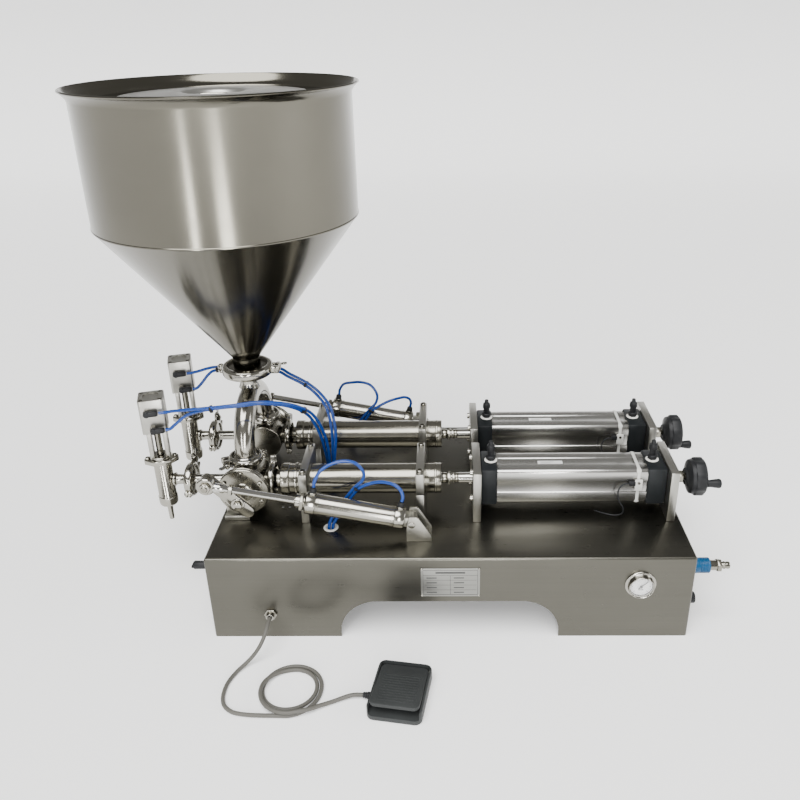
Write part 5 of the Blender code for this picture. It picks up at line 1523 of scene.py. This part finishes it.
@dataclass
class Pedal:
    """The foot switch on the floor and the cord that joins it to the table."""

    shop: Workshop
    x: float = -0.083
    y: float = -0.143
    turn: float = radians(-9)
    width: float = 0.092
    depth: float = 0.112
    cord_radius: float = 0.0035
    cord_length: float = 1.044
    coil: tuple[float, float] = (-0.268, -0.128)
    lead: Route = mm(
        (-322.4, -13.1, 53.1), (-322.5, -25, 52.6), (-323.4, -37, 50), (-325.8, -47.5, 43.5),
        (-330.5, -55.5, 34.5), (-337.5, -61.5, 24), (-346.5, -68, 14.5), (-357, -76.5, 7.5),
        (-368.5, -91, 4.2), (-378, -115, 3.7), (-379.5, -142, 3.7), (-373, -164, 3.7), (-356, -178.5, 3.7),
        (-332, -184, 3.7), (-305, -185.7, 3.7))
    tail: Route = mm(
        (-230.6, -178, 9.2), (-212, -166.8, 6.2), (-193, -157.2, 4.5), (-175, -149.2, 5.5),
        (-160, -145.5, 6.9), (-142.8, -145.7, 7))

    def loops(self) -> list[tuple[float, float, float]]:
        """The two loose loops between the lead and the tail."""
        points = []
        first, last, count = -98.0, 652.0, 54
        for step in range(count + 1):
            share = step / count
            angle = radians(first + (last - first) * share)
            turns = (last - first) * share / 360
            settle = min(1.0, turns / 0.3)
            radius = 0.0588 - 0.0073 * settle * settle * (3 - 2 * settle)
            radius -= 0.008 * max(0.0, min(1.55, turns) - 0.3)
            rise = max(0.0, min(1.0, (turns - 1.55) / 0.53))
            ease = rise * rise * (3 - 2 * rise)
            radius += 0.018 * ease
            lift = min(1.0, 2.0 * rise)
            height = 0.0037 + 0.0073 * lift * lift * (3 - 2 * lift)
            points.append((self.coil[0] + radius * cos(angle), self.coil[1] + radius * sin(angle), height))
        return points

    def cord(self) -> Piece:
        """The whole cord as one free curve."""
        shop = self.shop
        route = smooth([*self.lead, *self.loops(), *self.tail], 3)
        piece = shop.curve(
            "pedal_cord", [point + shop.datum for point in route], self.cord_radius, SHEATH, 14)
        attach(piece, "root")
        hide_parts("cord_lead", "cord_coil", "cord_tail")
        shop.made.append(piece.name)
        LOG.info("pedal_cord, %.3f m long", self.cord_length)
        return piece

    def shell(self) -> list[Piece]:
        """The moulded base with its boot, and the ribbed treadle."""
        shop = self.shop
        floor = Matrix.Translation((self.x, self.y, 0)) @ Matrix.Rotation(self.turn, 4, "Z")
        half_w, half_d = self.width / 2, self.depth / 2
        base = shop.plate(
            rounded(self.width, self.depth, 0.012, 6), 0.0003, 0.0235, PEDAL_SHELL, floor, 0.0022)
        well = shop.block(
            (-half_w + 0.004, -half_d - 0.01, 0.01), (half_w - 0.004, half_d - 0.0035, 0.05), PEDAL_SHELL,
            floor, 0.0015)
        base = shop.carve(base, well)
        boot = shop.lathe(
            floor @ seat((0, -0.012, 0.007), LEFT), BLACK, 28, (3.7, 60.5), (4.9, 60), (4.9, 58.5),
            (4.4, 57.5), (5.4, 56), (5.4, 54.5), (4.8, 53.5), (6, 52), (6, 50), (5.3, 49), (6.8, 47.5),
            (7, 44), (3.7, 44), ring=True, edge=0)
        base_piece = shop.finish_piece(
            "pedal_base_form", [base, boot], ["pedal_base"], slot="pedal_plastic")
        hinge = floor @ Matrix.Translation((0, half_d - 0.012, 0.0165)) @ Matrix.Rotation(
            radians(-7), 4, "X")
        tread = shop.plate(
            [(x, y - 0.045) for x, y in rounded(self.width - 0.0095, 0.1015, 0.01, 6)],
            -0.0026, 0.004, PEDAL_SHELL, hinge, 0.0018)
        parts = [tread]
        for row in range(11):
            y = -0.0855 + row * 0.0062
            parts.append(
                shop.block((-0.031, y, 0.0036), (0.031, y + 0.0026, 0.0048), PEDAL_SHELL, hinge, 0.0005))
        parts.append(shop.rod(
            0.0024, -half_w + 0.001, half_w - 0.001, TURNED_X,
            floor @ seat((0, half_d - 0.012, 0.0165), RIGHT), 20))
        treadle = shop.finish_piece(
            "pedal_treadle_form", parts, ["pedal_treadle"], body="pedal_treadle", slot="pedal_plastic")
        return [base_piece, treadle]

    def build(self) -> None:
        """The cord first, then the switch on its far end."""
        piece = self.cord()
        pieces = self.shell()


# ---------------------------------------------------------------- carried-over nodes


@dataclass
class CarriedNodes:
    """Frame nodes whose own shape is kept, each with its finish."""

    finishes: tuple[tuple[str, Finish], ...] = (("valve_island", ENAMEL), ("gauge_needle", DIAL_BLACK), )

    def dress(self, nodes: dict[str, Piece]) -> None:
        """Give each its material."""
        for name, finish in self.finishes:
            piece = nodes[name]
            for slot in piece.material_slots:
                slot.material = finish.material()


# ---------------------------------------------------------------- studio


@dataclass
class Studio:
    """A pale floor, soft lights and the camera."""

    datum: Vector
    eye: tuple[float, float, float] = (0.00003, -1.13443, 1.03605)
    yaw: float = 0.02128
    pitch: float = 0.43515
    roll: float = -0.01672
    lens: float = 36.1
    shift: tuple[float, float] = (-0.0403, -0.0205)

    def camera(self) -> None:
        """The view from a little above, straight on."""
        forward = Vector(
            (-sin(self.yaw) * cos(self.pitch), cos(self.yaw) * cos(self.pitch), -sin(self.pitch)))
        level = Vector((cos(self.yaw), sin(self.yaw), 0))
        upward = level.cross(forward)
        across = level * cos(self.roll) + upward * sin(self.roll)
        above = -level * sin(self.roll) + upward * cos(self.roll)
        data = bpy.data.cameras.new("view")
        data.lens = self.lens
        data.sensor_width = 36
        data.shift_x, data.shift_y = self.shift
        data.clip_end = 60
        camera = bpy.data.objects.new("view", data)
        stand = self.datum + Vector(self.eye)
        camera.matrix_world = Matrix((
            (across.x, above.x, -forward.x, stand.x), (across.y, above.y, -forward.y, stand.y),
            (across.z, above.z, -forward.z, stand.z), (0, 0, 0, 1)))
        bpy.context.scene.collection.objects.link(camera)
        bpy.context.scene.camera = camera

    def ground(self, shop: Workshop) -> None:
        """A wide floor that sweeps up behind."""
        sweep = [
            (4.3 + 1.2 * sin(radians(angle)), 1.2 - 1.2 * cos(radians(angle)))
            for angle in range(0, 91, 6)]
        outline = [(-3.4, 0.0), *sweep, (5.5, 1.75), (5.6, 1.75), (5.6, -0.1), (-3.4, -0.1)]
        place = Matrix.Rotation(pi / 2, 4, "Z") @ STAND
        floor = shop.plate(outline, -9.0, 9.0, Ground(), place, 0)
        floor.name = "studio_floor"

    def lamp(
            self, name: str, at: Sequence[float], aim: Sequence[float], size: tuple[float, float],
            power: float, colour: tuple[float, float, float] = (1, 1, 1)) -> None:
        """A soft rectangular light.

        Args:
            name: Its name.
            at: Where it hangs.
            aim: What it points at.
            size: Its width and height.
            power: Its strength in watts.
            colour: Its tint.
        """
        data = bpy.data.lights.new(name, "AREA")
        data.shape = "RECTANGLE"
        data.size, data.size_y = size
        data.energy = power
        data.color = colour
        light = bpy.data.objects.new(name, data)
        towards = Vector(aim) - Vector(at)
        light.matrix_world = Matrix.Translation(at) @ towards.to_track_quat("-Z", "Z").to_matrix().to_4x4()
        bpy.context.scene.collection.objects.link(light)

    def lights(self) -> None:
        """Big top light, tall strips at both sides, dim warm surroundings."""
        world = bpy.data.worlds.new("studio")
        world.use_nodes = True
        glow = world.node_tree.nodes["Background"]
        glow.inputs["Color"].default_value = (1.0, 0.985, 0.95, 1)
        glow.inputs["Strength"].default_value = 0.34
        bpy.context.scene.world = world
        data = bpy.data.lights.new("sky", "SUN")
        data.energy = 5.2
        data.angle = radians(50)
        sky = bpy.data.objects.new("sky", data)
        sky.matrix_world = Vector((0.15, 0.42, -1.0)).to_track_quat("-Z", "Y").to_matrix().to_4x4()
        bpy.context.scene.collection.objects.link(sky)
        self.lamp("left_window", (-0.93, -2.15, 0.62), (-0.32, 0.0, 0.6), (0.15, 1.15), 14)
        self.lamp("right_window", (0.26, -2.2, 0.62), (-0.32, 0.0, 0.6), (0.36, 1.15), 26)
        self.lamp("side", (2.6, -0.6, 1.2), (0.0, 0.0, 0.4), (0.7, 1.6), 24)


# ---------------------------------------------------------------- run


def main() -> None:
    """Load the frame, set the datum from the table's box, build every sub-assembly and log how many pieces
    were made.
    """
    logging.basicConfig(level=logging.INFO, format="%(name)s: %(message)s")
    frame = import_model()
    low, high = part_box("base_housing")
    datum = Vector(((low.x + high.x) / 2, low.y, 0))
    shop = Workshop(datum)
    studio = Studio(datum)
    studio.camera()
    Pedal(shop).build()
    studio.ground(shop)
    studio.lights()
    table = Table(shop)
    table.housing()
    table.nameplate()
    table.gauge()
    table.fittings()
    hopper = Hopper(shop)
    hopper.bowl()
    hopper.lid()
    hopper.manifold()
    for side in Side:
        MeteringLine(shop, side).build()
    Hoses(shop).build()
    CarriedNodes().dress(frame["nodes"])
    LOG.info("%d pieces", len(shop.made))


if __name__ == "__main__":
    main()
